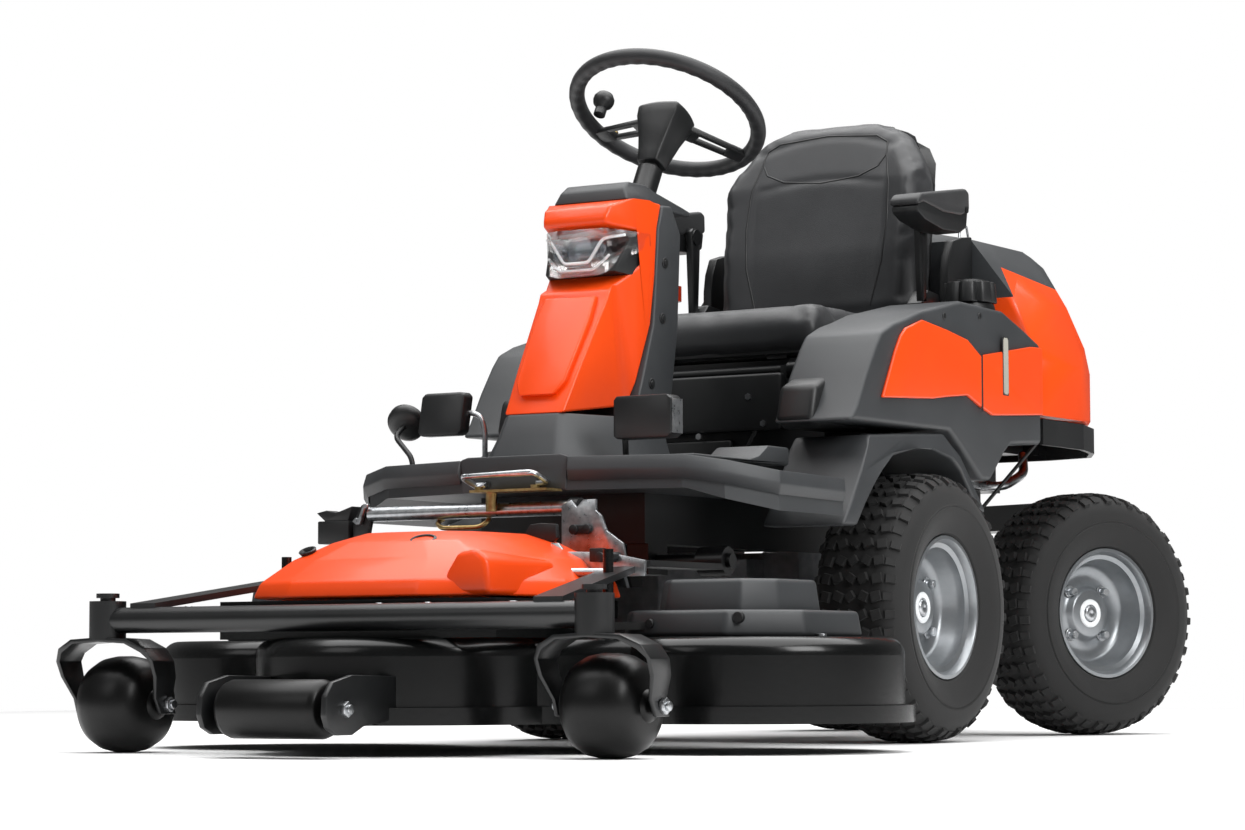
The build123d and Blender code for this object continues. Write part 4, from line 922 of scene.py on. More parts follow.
    def arms(self, side: Side) -> None:
        """Armrest pad with its lower grip, its hinge block and its post.

        Args:
            side: Side of the seat.
        """
        s = side.value
        bm = bmesh.new()
        top = [(126, 962), (127, 950), (150, 958), (230, 948), (300, 950), (334, 962), (333, 996), (320, 1002),
               (250, 991), (140, 973)]
        add_prism(bm, top, Plane.SIDE, s * 251, s * 311)
        round_edges(bm, 7, 3)
        self.piece(f"armrest_{side.word}_pad", bm, GRIP_FOAM, f"arm_{side.word}", (f"armrest_{side.word}",))
        bm = bmesh.new()
        add_prism(bm, [(129, 949), (132, 938), (160, 927), (230, 916), (300, 918), (326, 930), (332, 962),
                       (300, 956), (230, 954), (150, 963)], Plane.SIDE, s * 254, s * 308)
        round_edges(bm, 4, 2)
        add_rod(bm, (s * 311, 318, 962), (s * 313, 318, 962), 6, segments=12)
        self.piece(f"armrest_{side.word}_core", bm, BLACK_PP, f"arm_{side.word}")
        bm = bmesh.new()
        add_prism(bm, [(262, 790), (278, 790), (288, 955), (280, 962), (260, 962), (252, 955)], Plane.SIDE,
                  s * 235, s * 249)
        add_prism(bm, [(258, 790), (328, 790), (328, 812), (284, 816)], Plane.SIDE, s * 216, s * 249)
        round_edges(bm, 3, 2)
        add_rod(bm, (s * 232, 270, 945), (s * 250, 270, 945), 15)
        self.piece(f"arm_post_{side.word}", bm, POWDER_COAT, "seat")

    def build(self) -> None:
        """Build pads, shell and arms."""
        self.cushion()
        self.backrest()
        self.shell()
        for side in Side:
            self.arms(side)


# ---- Console ----------------------------------------------------------------------


@dataclass
class Console(Assembly):
    """Steering console: orange nose, grey trim and foot, cap, and the lamp under its visor."""

    half_width: float = 98.0

    def taper(self, bm: bmesh.types.BMesh) -> None:
        """Draw the sides in towards the nose, more so towards the foot."""
        for v in bm.verts:
            y, z = v.co.y / MM - AXLE_FROM_MIDDLE, v.co.z / MM
            if z < 760:
                share = min(max((z - 540) / 196, 0.0), 1.0)
                nose, nose_y, rear, rear_y = 57 + 12 * share, -645 + 118 * share, 82 + 10 * share, -500 + 58 * share
            else:
                nose, nose_y, rear, rear_y = 60, -524, 84, -468
            if y < rear_y:
                width = nose + (rear - nose) * min(max((y - nose_y) / (rear_y - nose_y), 0.0), 1.0)
            else:
                width = rear + (self.half_width - rear) * min((y - rear_y) / 40, 1.0)
            v.co.x = math.copysign(min(abs(v.co.x), width * MM), v.co.x)

    def nose(self) -> None:
        """Cut the orange front: raised middle panel, lamp recess and visor."""
        bm = bmesh.new()
        outline = [(-645, 541), (-599, 620), (-527, 737), (-520, 752), (-500, 764), (-482, 776), (-444, 806), (-444, 853),
                   (-520, 862), (-522, 874), (-512, 893), (-468, 908), (-402, 905), (-416, 862), (-424, 776),
                   (-432, 700), (-470, 600), (-492, 560)]
        add_prism(bm, outline, Plane.SIDE, -self.half_width, self.half_width)
        for y in (-600, -560, -530, -505, -468, -440):
            bmesh.ops.bisect_plane(bm, geom=bm.verts[:] + bm.edges[:] + bm.faces[:], plane_co=spot(0, y, 0),
                                   plane_no=(0, 1, 0))
        self.taper(bm)
        round_edges(bm, 4.5, 3, 30)
        self.piece("console_nose", bm, ORANGE_ASA, "chassis", ("console_shell",), smooth=32)
        bm = bmesh.new()
        corners = add_prism(bm, [(-50, 742), (-54, 700), (-48, 596), (-34, 572), (34, 572), (48, 596), (54, 700),
                                 (50, 742)], Plane.FRONT, 0, 14)
        for v in corners:
            z = v.co.z / MM
            face = -599 + (z - 620) * 72 / 117 if z > 620 else -645 + (z - 541) * 46 / 79
            v.co.y += spot(0, face - 12, 0).y - spot(0, 0, 0).y
        round_edges(bm, 4, 3, 30)
        self.piece("console_nose_panel", bm, ORANGE_ASA, "chassis", smooth=32)

    def trim(self) -> None:
        """Shape the grey trim with its screws, and the flared foot."""
        bm = bmesh.new()
        outline = [(-492, 545), (-470, 600), (-432, 700), (-424, 776), (-416, 862), (-402, 903), (-372, 905),
                   (-342, 860), (-352, 700), (-380, 545)]
        add_prism(bm, outline, Plane.SIDE, -100, 100)
        round_edges(bm, 5, 3, 30)
        self.piece("console_trim", bm, GREY_PP, "chassis", ("console_base",))
        bm = bmesh.new()
        for y, z in ((-396, 806), (-404, 712), (-440, 600)):
            for s in (-1, 1):
                add_rod(bm, (s * 99, y, z), (s * 102, y, z), 9)
                add_rod(bm, (s * 101.4, y, z), (s * 103.2, y, z), 5.5, segments=6)
        round_edges(bm, 0.6, 1)
        self.piece("console_trim_screws", bm, BLACK_PP, "chassis")
        bm = bmesh.new()
        levels = ((441, 82, 122, -690, -600, -402), (470, 76, 114, -678, -590, -404), (505, 66, 104, -662, -540, -406),
                  (541, 60, 97, -647, -505, -408))
        loops: list[bmesh.types.BMEdge] = []
        for z, nose, rear, front, shoulder, back in levels:
            half = [(0, front), (nose * 0.8, front), (nose, front + 14), (rear, shoulder), (rear, back + 10),
                    (rear - 10, back), (0, back)]
            ring = [bm.verts.new(spot(x, y, z)) for x, y in half]
            ring += [bm.verts.new(spot(-x, y, z)) for x, y in reversed(half[1:-1])]
            edges = [bm.edges.new((a, b)) for a, b in zip(ring, ring[1:] + ring[:1])]
            if loops:
                bmesh.ops.bridge_loops(bm, edges=loops + edges)
            loops = edges
        bmesh.ops.holes_fill(bm, edges=[e for e in bm.edges if e.is_boundary], sides=0)
        round_edges(bm, 4, 2, 28)
        self.piece("console_foot", bm, GREY_PP, "chassis", smooth=30)

    def cap(self) -> None:
        """Crown the cap and fit the gaiter round the column."""
        bm = bmesh.new()
        outline = [(-472, 907), (-466, 928), (-448, 941), (-392, 941), (-340, 926), (-290, 914), (-266, 908),
                   (-268, 900), (-292, 899), (-400, 903)]
        add_prism(bm, outline, Plane.SIDE, -74, 74)
        for v in bm.verts:
            if v.co.z > 0.925:
                v.co.x *= 0.84
        round_edges(bm, 7, 3, 30)
        self.piece("console_cap_crowned", bm, GREY_PP, "chassis", ("console_cap",))
        bm = bmesh.new()
        tilt = math.radians(28.8)
        place = (Matrix.Translation(spot(0, -221 - 172 * math.sin(tilt), 1092 - 172 * math.cos(tilt)))
                 @ Matrix.Rotation(-tilt, 4, "X") @ Matrix.Rotation(-math.pi / 2, 4, "Y"))
        add_lathe(bm, [(-40, 20), (-40, 33), (-26, 33), (-22, 29), (-14, 29), (-10, 26), (0, 25), (2, 20)], place, 40)
        self.piece("steering_gaiter", bm, GRIP_FOAM, "chassis")

    def lamp(self) -> None:
        """Build the lamp: bowl, centre projector, light guide and wrap-round lens."""
        bm = bmesh.new()
        add_prism(bm, [(-470, 779), (-505, 784), (-490, 812), (-470, 850), (-430, 850), (-430, 806)], Plane.SIDE,
                  -92, 92)
        self.taper(bm)
        round_edges(bm, 3, 2)
        self.piece("lamp_bowl", bm, BLACK_PP, "chassis", ("headlight_unit",))
        bm = bmesh.new()
        for x, wide in ((0, 24), (-38, 12), (38, 12)):
            place = Matrix.Translation(spot(x, -498, 822)) @ Matrix.Rotation(math.pi, 4, "Z") @ Matrix.Rotation(
                math.pi / 2, 4, "Z")
            add_lathe(bm, [(-16, 0), (-16, wide * 0.7), (2, wide), (4, wide), (4, wide - 3), (-8, wide * 0.6),
                           (-10, 0)], place, 32)
        self.piece("lamp_reflectors", bm, LAMP_BOWL, "chassis")
        bm = bmesh.new()
        place = Matrix.Translation(spot(0, -506, 822)) @ Matrix.Rotation(math.pi / 2, 4, "Z")
        add_lathe(bm, [(-8, 0), (-8, 13), (-2, 13), (5, 9), (8, 0)], place, 28)
        self.piece("lamp_projector", bm, CLEAR_PC, "chassis")
        self.wire("lamp_light_guide_upper", [(-72, -492, 846), (-50, -512, 838), (-24, -515, 800), (24, -515, 800),
                                             (50, -512, 838), (76, -482, 846)], 2.6, LIGHT_GUIDE, "chassis")
        self.wire("lamp_light_guide_lower", [(-60, -506, 812), (-34, -514, 788), (34, -514, 788),
                                             (60, -506, 812)], 2.2, LIGHT_GUIDE, "chassis")
        bm = bmesh.new()
        half = [(0, -521), (34, -521), (54, -517), (66, -504), (82, -476), (97, -442)]
        route = [(-x, y) for x, y in reversed(half[1:])] + half
        low = [bm.verts.new(spot(x, y + 6, 777 + max(abs(x) - 50, 0) * 1.15)) for x, y in route]
        edges = [bm.edges.new(pair) for pair in zip(low, low[1:])]
        grown = bmesh.ops.extrude_edge_only(bm, edges=edges)["geom"]
        for v in [g for g in grown if isinstance(g, bmesh.types.BMVert)]:
            v.co.z = (856 - max(abs(v.co.x) / MM - 60, 0) * 0.15) * MM
            v.co.y -= 0.003
        obj = self.piece("lamp_lens", bm, CLEAR_PC, "chassis", ("headlight_lens",), smooth=40)
        wall = obj.modifiers.new("wall", "SOLIDIFY")
        wall.thickness, wall.offset = 0.0025, 0.0

    def build(self) -> None:
        """Build the console."""
        self.nose()
        self.trim()
        self.cap()
        self.lamp()


# ---- Bodywork ---------------------------------------------------------------------


@dataclass
class Bodywork(Assembly):
    """Side bodies with coloured panels, arched fenders, filler cap, grilles, bumper and hood."""

    frame: dict[str, dict[str, bpy.types.Object]] = field(default_factory=dict)

    def side_body(self, side: Side) -> None:
        """Grey side body with its coloured panel, service slot and knee pod.

        Args:
            side: Side of the machine.
        """
        s = side.value
        bm = bmesh.new()
        outline = [(-286, 537), (-262, 566), (-228, 622), (-192, 672), (-172, 694), (-128, 712), (-84, 724),
                   (-30, 741), (30, 753), (129, 773), (300, 770), (380, 746), (457, 721), (457, 537), (395, 534),
                   (325, 529), (300, 512), (262, 478), (241, 460), (205, 460), (168, 484), (120, 516), (80, 540)]
        add_prism(bm, outline, Plane.SIDE, s * 241, s * 392)
        round_edges(bm, 9, 4, 24)
        self.piece(f"side_body_{side.word}", bm, GREY_PP, "chassis", (f"side_frame_{side.word}",))
        bm = bmesh.new()
        panel = [(-182, 581), (-133, 664), (-112, 692), (-94, 706), (-32, 725), (60, 716), (142, 705), (193, 681),
                 (402, 713), (451, 715), (451, 591), (411, 588), (320, 582), (239, 577), (190, 590), (140, 606),
                 (60, 598), (3, 591), (-90, 586)]
        add_prism(bm, panel, Plane.SIDE, s * 391, s * 398.5)
        round_edges(bm, 3.2, 3, 30)
        self.piece(f"side_panel_{side.word}_moulded", bm, ORANGE_ASA, "chassis", (f"side_panel_{side.word}",))
        bm = bmesh.new()
        add_block(bm, (s * 397, 280, 616), (s * 399.2, 304, 722))
        add_prism(bm, [(193, 684), (199, 684), (199, 580), (193, 580)], Plane.SIDE, s * 397.6, s * 399)
        round_edges(bm, 0.6, 1)
        self.piece(f"side_slot_{side.word}", bm, BLACK_PP, "chassis")
        bm = bmesh.new()
        add_prism(bm, [(282, 622), (286, 618), (298, 618), (301, 622), (301, 716), (298, 720), (286, 720),
                       (282, 716)], Plane.SIDE, s * 398.4, s * 400)
        self.piece(f"tank_window_{side.word}", bm, TANK_PE, "chassis")
        bm = bmesh.new()
        add_prism(bm, [(-286, 540), (-270, 600), (-200, 628), (-80, 634), (-62, 560), (-90, 532), (-260, 528)],
                  Plane.SIDE, s * 246, s * 318)
        round_edges(bm, 10, 3, 24)
        self.piece(f"knee_pod_{side.word}", bm, BLACK_PP, "chassis")
        bm = bmesh.new()
        for y, z in ((60, 740), (200, 752), (420, 700)):
            add_rod(bm, (s * 391, y, z), (s * 394, y, z), 6)
        round_edges(bm, 0.8, 1)
        self.piece(f"side_rivets_{side.word}", bm, BLACK_PP, "chassis")

    def fender(self, side: Side) -> None:
        """Arched fender with a chamfered outer face.

        Args:
            side: Side of the machine.
        """
        s = side.value
        bm = bmesh.new()
        outline = [(-330, 362), (-300, 402), (-262, 456), (-236, 496), (-216, 517), (-90, 526), (62, 535),
                   (110, 496), (160, 446), (206, 402), (176, 402), (140, 436), (104, 470), (64, 490), (20, 504),
                   (-26, 504), (-70, 500), (-148, 484), (-186, 458), (-219, 430), (-250, 398), (-280, 362)]
        verts = add_prism(bm, outline, Plane.SIDE, s * 245, s * 400)
        for v in verts:
            if abs(v.co.x) > 0.39 and v.co.z > 0.50:
                v.co.x -= s * 0.012
        round_edges(bm, 6, 3, 24)
        self.piece(f"fender_{side.word}_arched", bm, GREY_PP, "chassis", (f"fender_{side.word}",))

    def filler(self) -> None:
        """Lobed filler cap on its collar."""
        bm = bmesh.new()
        add_rod(bm, (338, 271, 770), (338, 271, 782), 47, 44, 48)
        round_edges(bm, 2, 2)
        self.piece("filler_collar", bm, BLACK_PP, "chassis")
        bm = bmesh.new()
        base = bmesh.ops.create_circle(bm, cap_ends=True, segments=96, radius=0.050)["verts"]
        face = bm.faces[:]
        top = [v for v in bmesh.ops.extrude_face_region(bm, geom=face)["geom"] if isinstance(v, bmesh.types.BMVert)]
        bmesh.ops.translate(bm, verts=top, vec=(0, 0, 0.038))
        for v in base + top:
            angle = math.atan2(v.co.y, v.co.x)
            lobe = 1.0 - 0.13 * max(0.0, math.cos(angle * 8)) ** 2
            v.co.x, v.co.y = v.co.x * lobe, v.co.y * lobe
        for v in top:
            v.co.x, v.co.y = v.co.x * 0.93, v.co.y * 0.93
        round_edges(bm, 2.5, 2, 50)
        bmesh.ops.translate(bm, verts=bm.verts[:], vec=spot(338, 271, 783))
        add_rod(bm, (338, 271, 820), (338, 271, 826), 30, 27, 40)
        self.piece("filler_cap_lobed", bm, BLACK_PP, "filler_cap", ("fuel_cap",), smooth=30)

    def grilles(self) -> None:
        """Cheeks with honeycomb air inlets."""
        for side in Side:
            s = side.value
            bm = bmesh.new()
            outline = [(338, 762), (340, 850), (346, 882), (362, 914), (400, 924), (441, 929), (441, 728)]
            add_prism(bm, outline, Plane.SIDE, s * 243, s * 262)
            round_edges(bm, 3, 2, 30)
            self.piece(f"air_cheek_{side.word}", bm, BLACK_PP, "chassis", ("air_grille",) if s > 0 else ())
            bm = bmesh.new()
            for row in range(9):
                for column in range(8):
                    y, z = 352 + column * 11 + (row % 2) * 5.5, 798 + row * 9.6
                    place = (Matrix.Translation(spot(s * 264, y, z)) @ Matrix.Rotation(math.pi / 2, 4, "Y"))
                    ring = bmesh.ops.create_circle(bm, segments=6, radius=6.1 * MM, matrix=place)["verts"]
                    face = bm.faces.new(ring)
                    hole = bmesh.ops.inset_individual(bm, faces=[face], thickness=1.3 * MM, depth=0.0)
                    del hole
                    bmesh.ops.delete(bm, geom=[face], context="FACES_ONLY")
            self.piece(f"air_honeycomb_{side.word}", bm, GREY_PP, "chassis")

    def hood(self) -> None:
        """Copy the hood's form and part it into grey crown and orange flanks."""
        bm = bmesh.new()
        bm.from_mesh(self.frame["nodes"]["hood"].data)
        bmesh.ops.remove_doubles(bm, verts=bm.verts[:], dist=1e-5)
        everything = bm.verts[:] + bm.edges[:] + bm.faces[:]
        bmesh.ops.bisect_plane(bm, geom=everything, plane_co=spot(0, 442, 812), plane_no=(0, 0.80, -0.62))
        bmesh.ops.bisect_plane(bm, geom=bm.verts[:] + bm.edges[:] + bm.faces[:], plane_co=spot(0, 482, 876),
                               plane_no=(0, 0.12, 0.99))
        mesh = bpy.data.meshes.new("hood_panels")
        grey = []
        for face in bm.faces:
            middle = face.calc_center_median()
            y, z = middle.y / MM - AXLE_FROM_MIDDLE, middle.z / MM
            front = (y - 442) * 0.80 - (z - 812) * 0.62 > 0
            below = (y - 482) * 0.12 + (z - 876) * 0.99 < 0
            grey.append(not (front and below))
        bm.to_mesh(mesh)
        bm.free()
        obj = bpy.data.objects.new("hood_panels", mesh)
        bpy.context.scene.collection.objects.link(obj)
        mesh.shade_smooth()
        mesh.set_sharp_from_angle(angle=math.radians(30))
        self.place(obj, ORANGE_ASA, "engine_hood", ("hood",))
        obj.data.materials.append(GREY_PP.build())
        for polygon, crown in zip(obj.data.polygons, grey):
            polygon.material_index = int(crown)
        self.wire("hood_catch", [(196, 520, 940), (196, 524, 962), (204, 534, 966), (206, 540, 938)], 2.2,
                  ZINC_PLATE, "engine_hood")

    def bumper(self) -> None:
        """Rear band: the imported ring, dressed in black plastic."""
        self.frame["nodes"]["rear_bumper"].data.materials.clear()
        self.frame["nodes"]["rear_bumper"].data.materials.append(BLACK_PP.build())

    def build(self) -> None:
        """Build all the bodywork."""
        for side in Side:
            self.side_body(side)
            self.fender(side)
        self.filler()
        self.grilles()
        self.hood()
        self.bumper()

# ---- Floor, pedals and hitch ------------------------------------------------------


@dataclass
class Platform(Assembly):
    """Floor with its grey edge bands, the pedals, and the hitch hardware in front of it."""

    def band(self, name: str, run: Sequence[Point], drop: float) -> None:
        """Bend an edge moulding along a run of its upper edge.

        Args:
            name: Piece name.
            run: Upper edge in millimetres.
            drop: Height of the moulding.
        """
        bm = bmesh.new()
        rows = []
        for x, y, z in run:
            rows.append([bm.verts.new(spot(*p)) for p in ((x, y, z), (x * 1.012, y - 5, z - drop * 0.55),
                                                          (x * 0.995, y + 2, z - drop), (x * 0.965, y + 16, z - 4))])
        for one, two in zip(rows, rows[1:]):
            for k in range(4):
                bm.faces.new((one[k], one[(k + 1) % 4], two[(k + 1) % 4], two[k]))
        for row in (rows[0], rows[-1]):
            bm.faces.new(row)
        bmesh.ops.recalc_face_normals(bm, faces=bm.faces[:])
        round_edges(bm, 2.5, 2, 30)
        self.piece(name, bm, GREY_PP, "chassis")

    def bands(self) -> None:
        """Fit the mouldings round the floor's front and sides."""
        for side in Side:
            s = side.value
            self.band(f"floor_band_{side.word}", [(s * 104, -704, 466), (s * 288, -655, 466), (s * 350, -624, 456),
                                                  (s * 404, -548, 441), (s * 404, -332, 438)], 40)
        bm = bmesh.new()
        add_prism(bm, [(-100, 412), (100, 412), (104, 466), (90, 470), (-90, 470), (-104, 466)], Plane.FRONT,
                  -703, -697)
        round_edges(bm, 3, 2)
        self.piece("floor_band_centre", bm, GREY_PP, "chassis")
        bm = bmesh.new()
        for s in (-1, 1):
            add_prism(bm, [(-640, 467), (-460, 467), (-430, 474), (-400, 492), (-330, 492), (-330, 462),
                           (-640, 458)], Plane.SIDE, s * 200, s * 300)
        round_edges(bm, 6, 2)
        self.piece("foot_wedges", bm, GREY_PP, "chassis")

    def pedals(self) -> None:
        """Shape the three pedals on their bent rods."""
        bm = bmesh.new()
        add_prism(bm, [(150, 498), (156, 494), (250, 494), (258, 500), (258, 556), (250, 563), (156, 563),
                       (150, 557)], Plane.FRONT, -640, -604)
        round_edges(bm, 3, 2)
        self.piece("brake_pad", bm, BLACK_PP, "brake_pedal", ("pedal_brake",))
        bm = bmesh.new()
        add_block(bm, (258, -636, 501), (260, -606, 556))
        self.piece("brake_pad_plate", bm, ZINC_PLATE, "brake_pedal")
        self.wire("brake_rod", [(150, -600, 452), (150, -604, 512), (180, -604, 526)], 5, BLACK_PP,
                  "brake_pedal")
        bm = bmesh.new()
        corners = add_prism(bm, [(-300, 528), (-294, 521), (-218, 521), (-211, 528), (-211, 588), (-218, 595),
                                 (-294, 595), (-300, 588)], Plane.FRONT, -542, -514)
        for v in corners:
            v.co.y += (v.co.z - 0.558) * 0.2
        round_edges(bm, 4, 2)
        self.piece("reverse_pad", bm, BLACK_PP, "reverse_pedal", ("pedal_reverse",))
        self.wire("reverse_rod", [(-180, -520, 452), (-180, -520, 530), (-190, -520, 556), (-226, -520, 562)],
                  4.6, ZINC_PLATE, "reverse_pedal")
        bm = bmesh.new()
        place = facing(spot(-350, -514, 545), (-0.2, 0.8, 0.5))
        add_lathe(bm, [(-6, 0), (-6, 15), (-2, 27), (4, 33), (14, 33), (19, 29), (22, 18), (23, 0)], place, 40)
        self.piece("forward_pad", bm, BLACK_PP, "forward_pedal", ("pedal_forward",), smooth=50)
        self.wire("forward_rod", [(-300, -560, 452), (-303, -558, 484), (-351, -542, 524), (-350, -512, 546)],
                  4.6, BLACK_PP, "forward_pedal")

    def hitch(self) -> None:
        """Hook bar with its brackets, the slotted plates, the bail and the tension rod."""
        bm = bmesh.new()
        add_rod(bm, (-285, -700, 383), (110, -700, 383), 12, segments=32)
        self.piece("hook_tube", bm, ZINC_PLATE, "chassis", ("hook_bar",))
        bm = bmesh.new()
        add_block(bm, (-386, -712, 336), (-322, -672, 374))
        add_prism(bm, [(-392, 388), (-372, 372), (-326, 372), (-318, 398), (-350, 388), (-372, 392)],
                  Plane.FRONT, -708, -676)
        add_prism(bm, [(-318, 340), (-290, 340), (-278, 392), (-300, 400), (-318, 372)], Plane.FRONT, -706, -694)
        round_edges(bm, 2, 2)
        add_rod(bm, (110, -700, 383), (128, -700, 383), 16, segments=28)
        self.piece("hook_bracket", bm, BLACK_PP, "chassis")
        bm = bmesh.new()
        add_prism(bm, [(-312, 372), (-304, 366), (-296, 366), (-286, 392), (-280, 394), (-280, 400), (-290, 400),
                       (-300, 376), (-306, 378)], Plane.FRONT, -716, -708)
        round_edges(bm, 1, 1)
        self.piece("hook_tongue", bm, ZINC_PLATE, "chassis")
        bm = bmesh.new()
        plates = [(112, 292), (132, 300), (132, 384), (150, 392), (160, 380), (172, 392), (196, 392), (196, 374),
                  (206, 366), (216, 342), (246, 322), (250, 300), (232, 288)]
        add_prism(bm, plates, Plane.FRONT, -764, -758)
        add_prism(bm, [(112, 268), (116, 306), (150, 308), (158, 322), (172, 322), (184, 308), (262, 306),
                       (330, 292), (330, 268)], Plane.FRONT, -836, -830)
        add_block(bm, (112, -834, 300), (132, -758, 306))
        round_edges(bm, 1.2, 2)
        self.piece("hitch_plates", bm, ZINC_PLATE, "lift")
        bm = bmesh.new()
        add_rod(bm, (158, -772, 345), (158, -754, 345), 8)
        add_rod(bm, (182, -772, 345), (182, -754, 345), 8)
        add_block(bm, (158, -770, 338), (182, -757, 352))
        for x in (256, 276):
            add_rod(bm, (x, -850, 298), (x, -826, 298), 8)
        add_block(bm, (236, -846, 291), (262, -838, 312))
        add_rod(bm, (168, -838, 305), (168, -829, 305), 7)
        guard = [(104, 300), (104, 340), (112, 352), (132, 354), (160, 352), (162, 330), (150, 322), (136, 318),
                 (126, 300)]
        add_prism(bm, guard, Plane.FRONT, -824, -814)
        add_prism(bm, [(82, 250), (82, 296), (92, 302), (104, 298), (106, 250)], Plane.FRONT, -904, -894)
        round_edges(bm, 1.5, 2)
        self.piece("hitch_pins", bm, BLACK_PP, "lift")
        bm = bmesh.new()
        add_rod(bm, (58, -902, 277), (300, -884, 273), 6.5, segments=20)
        add_rod(bm, (58, -902, 277), (70, -902, 277), 11, segments=6)
        add_rod(bm, (106, -898, 277), (112, -898, 277), 11, segments=6)
        self.piece("tension_rod", bm, ZINC_PLATE, "lift")
        self.wire("latch_bail_wire", [(-50, -709, 424), (-64, -711, 420), (-72, -748, 436), (68, -748, 440),
                                      (74, -713, 424), (50, -709, 424)], 4.2, ZINC_PLATE, "bail")
        self.frame_stand_in()
        bm = bmesh.new()
        add_block(bm, (-56, -746, 410), (92, -700, 414))
        add_rod(bm, (-28, -724, 380), (-28, -724, 412), 9)
        add_rod(bm, (-48, -730, 414), (-48, -730, 420), 7, segments=6)
        add_rod(bm, (60, -730, 414), (60, -730, 420), 7, segments=6)
        self.piece("bail_plate", bm, YELLOW_ZINC, "chassis")
        self.wire("catch_wire", [(-146, -690, 372), (-150, -702, 366), (-132, -716, 356), (-56, -716, 356),
                                 (-48, -700, 368), (-60, -690, 376)], 4, YELLOW_ZINC, "chassis")

    def frame_stand_in(self) -> None:
        """Round the bail's ends where they enter the floor."""
        bm = bmesh.new()
        for x in (-50, 50):
            add_rod(bm, (x, -704, 424), (x, -698, 424), 7)
        self.piece("bail_bushes", bm, BLACK_PP, "chassis")

    def build(self) -> None:
        """Build the floor's trim, pedals and hitch."""
        self.bands()
        self.pedals()
        self.hitch()


# ---- Cutting deck -----------------------------------------------------------------


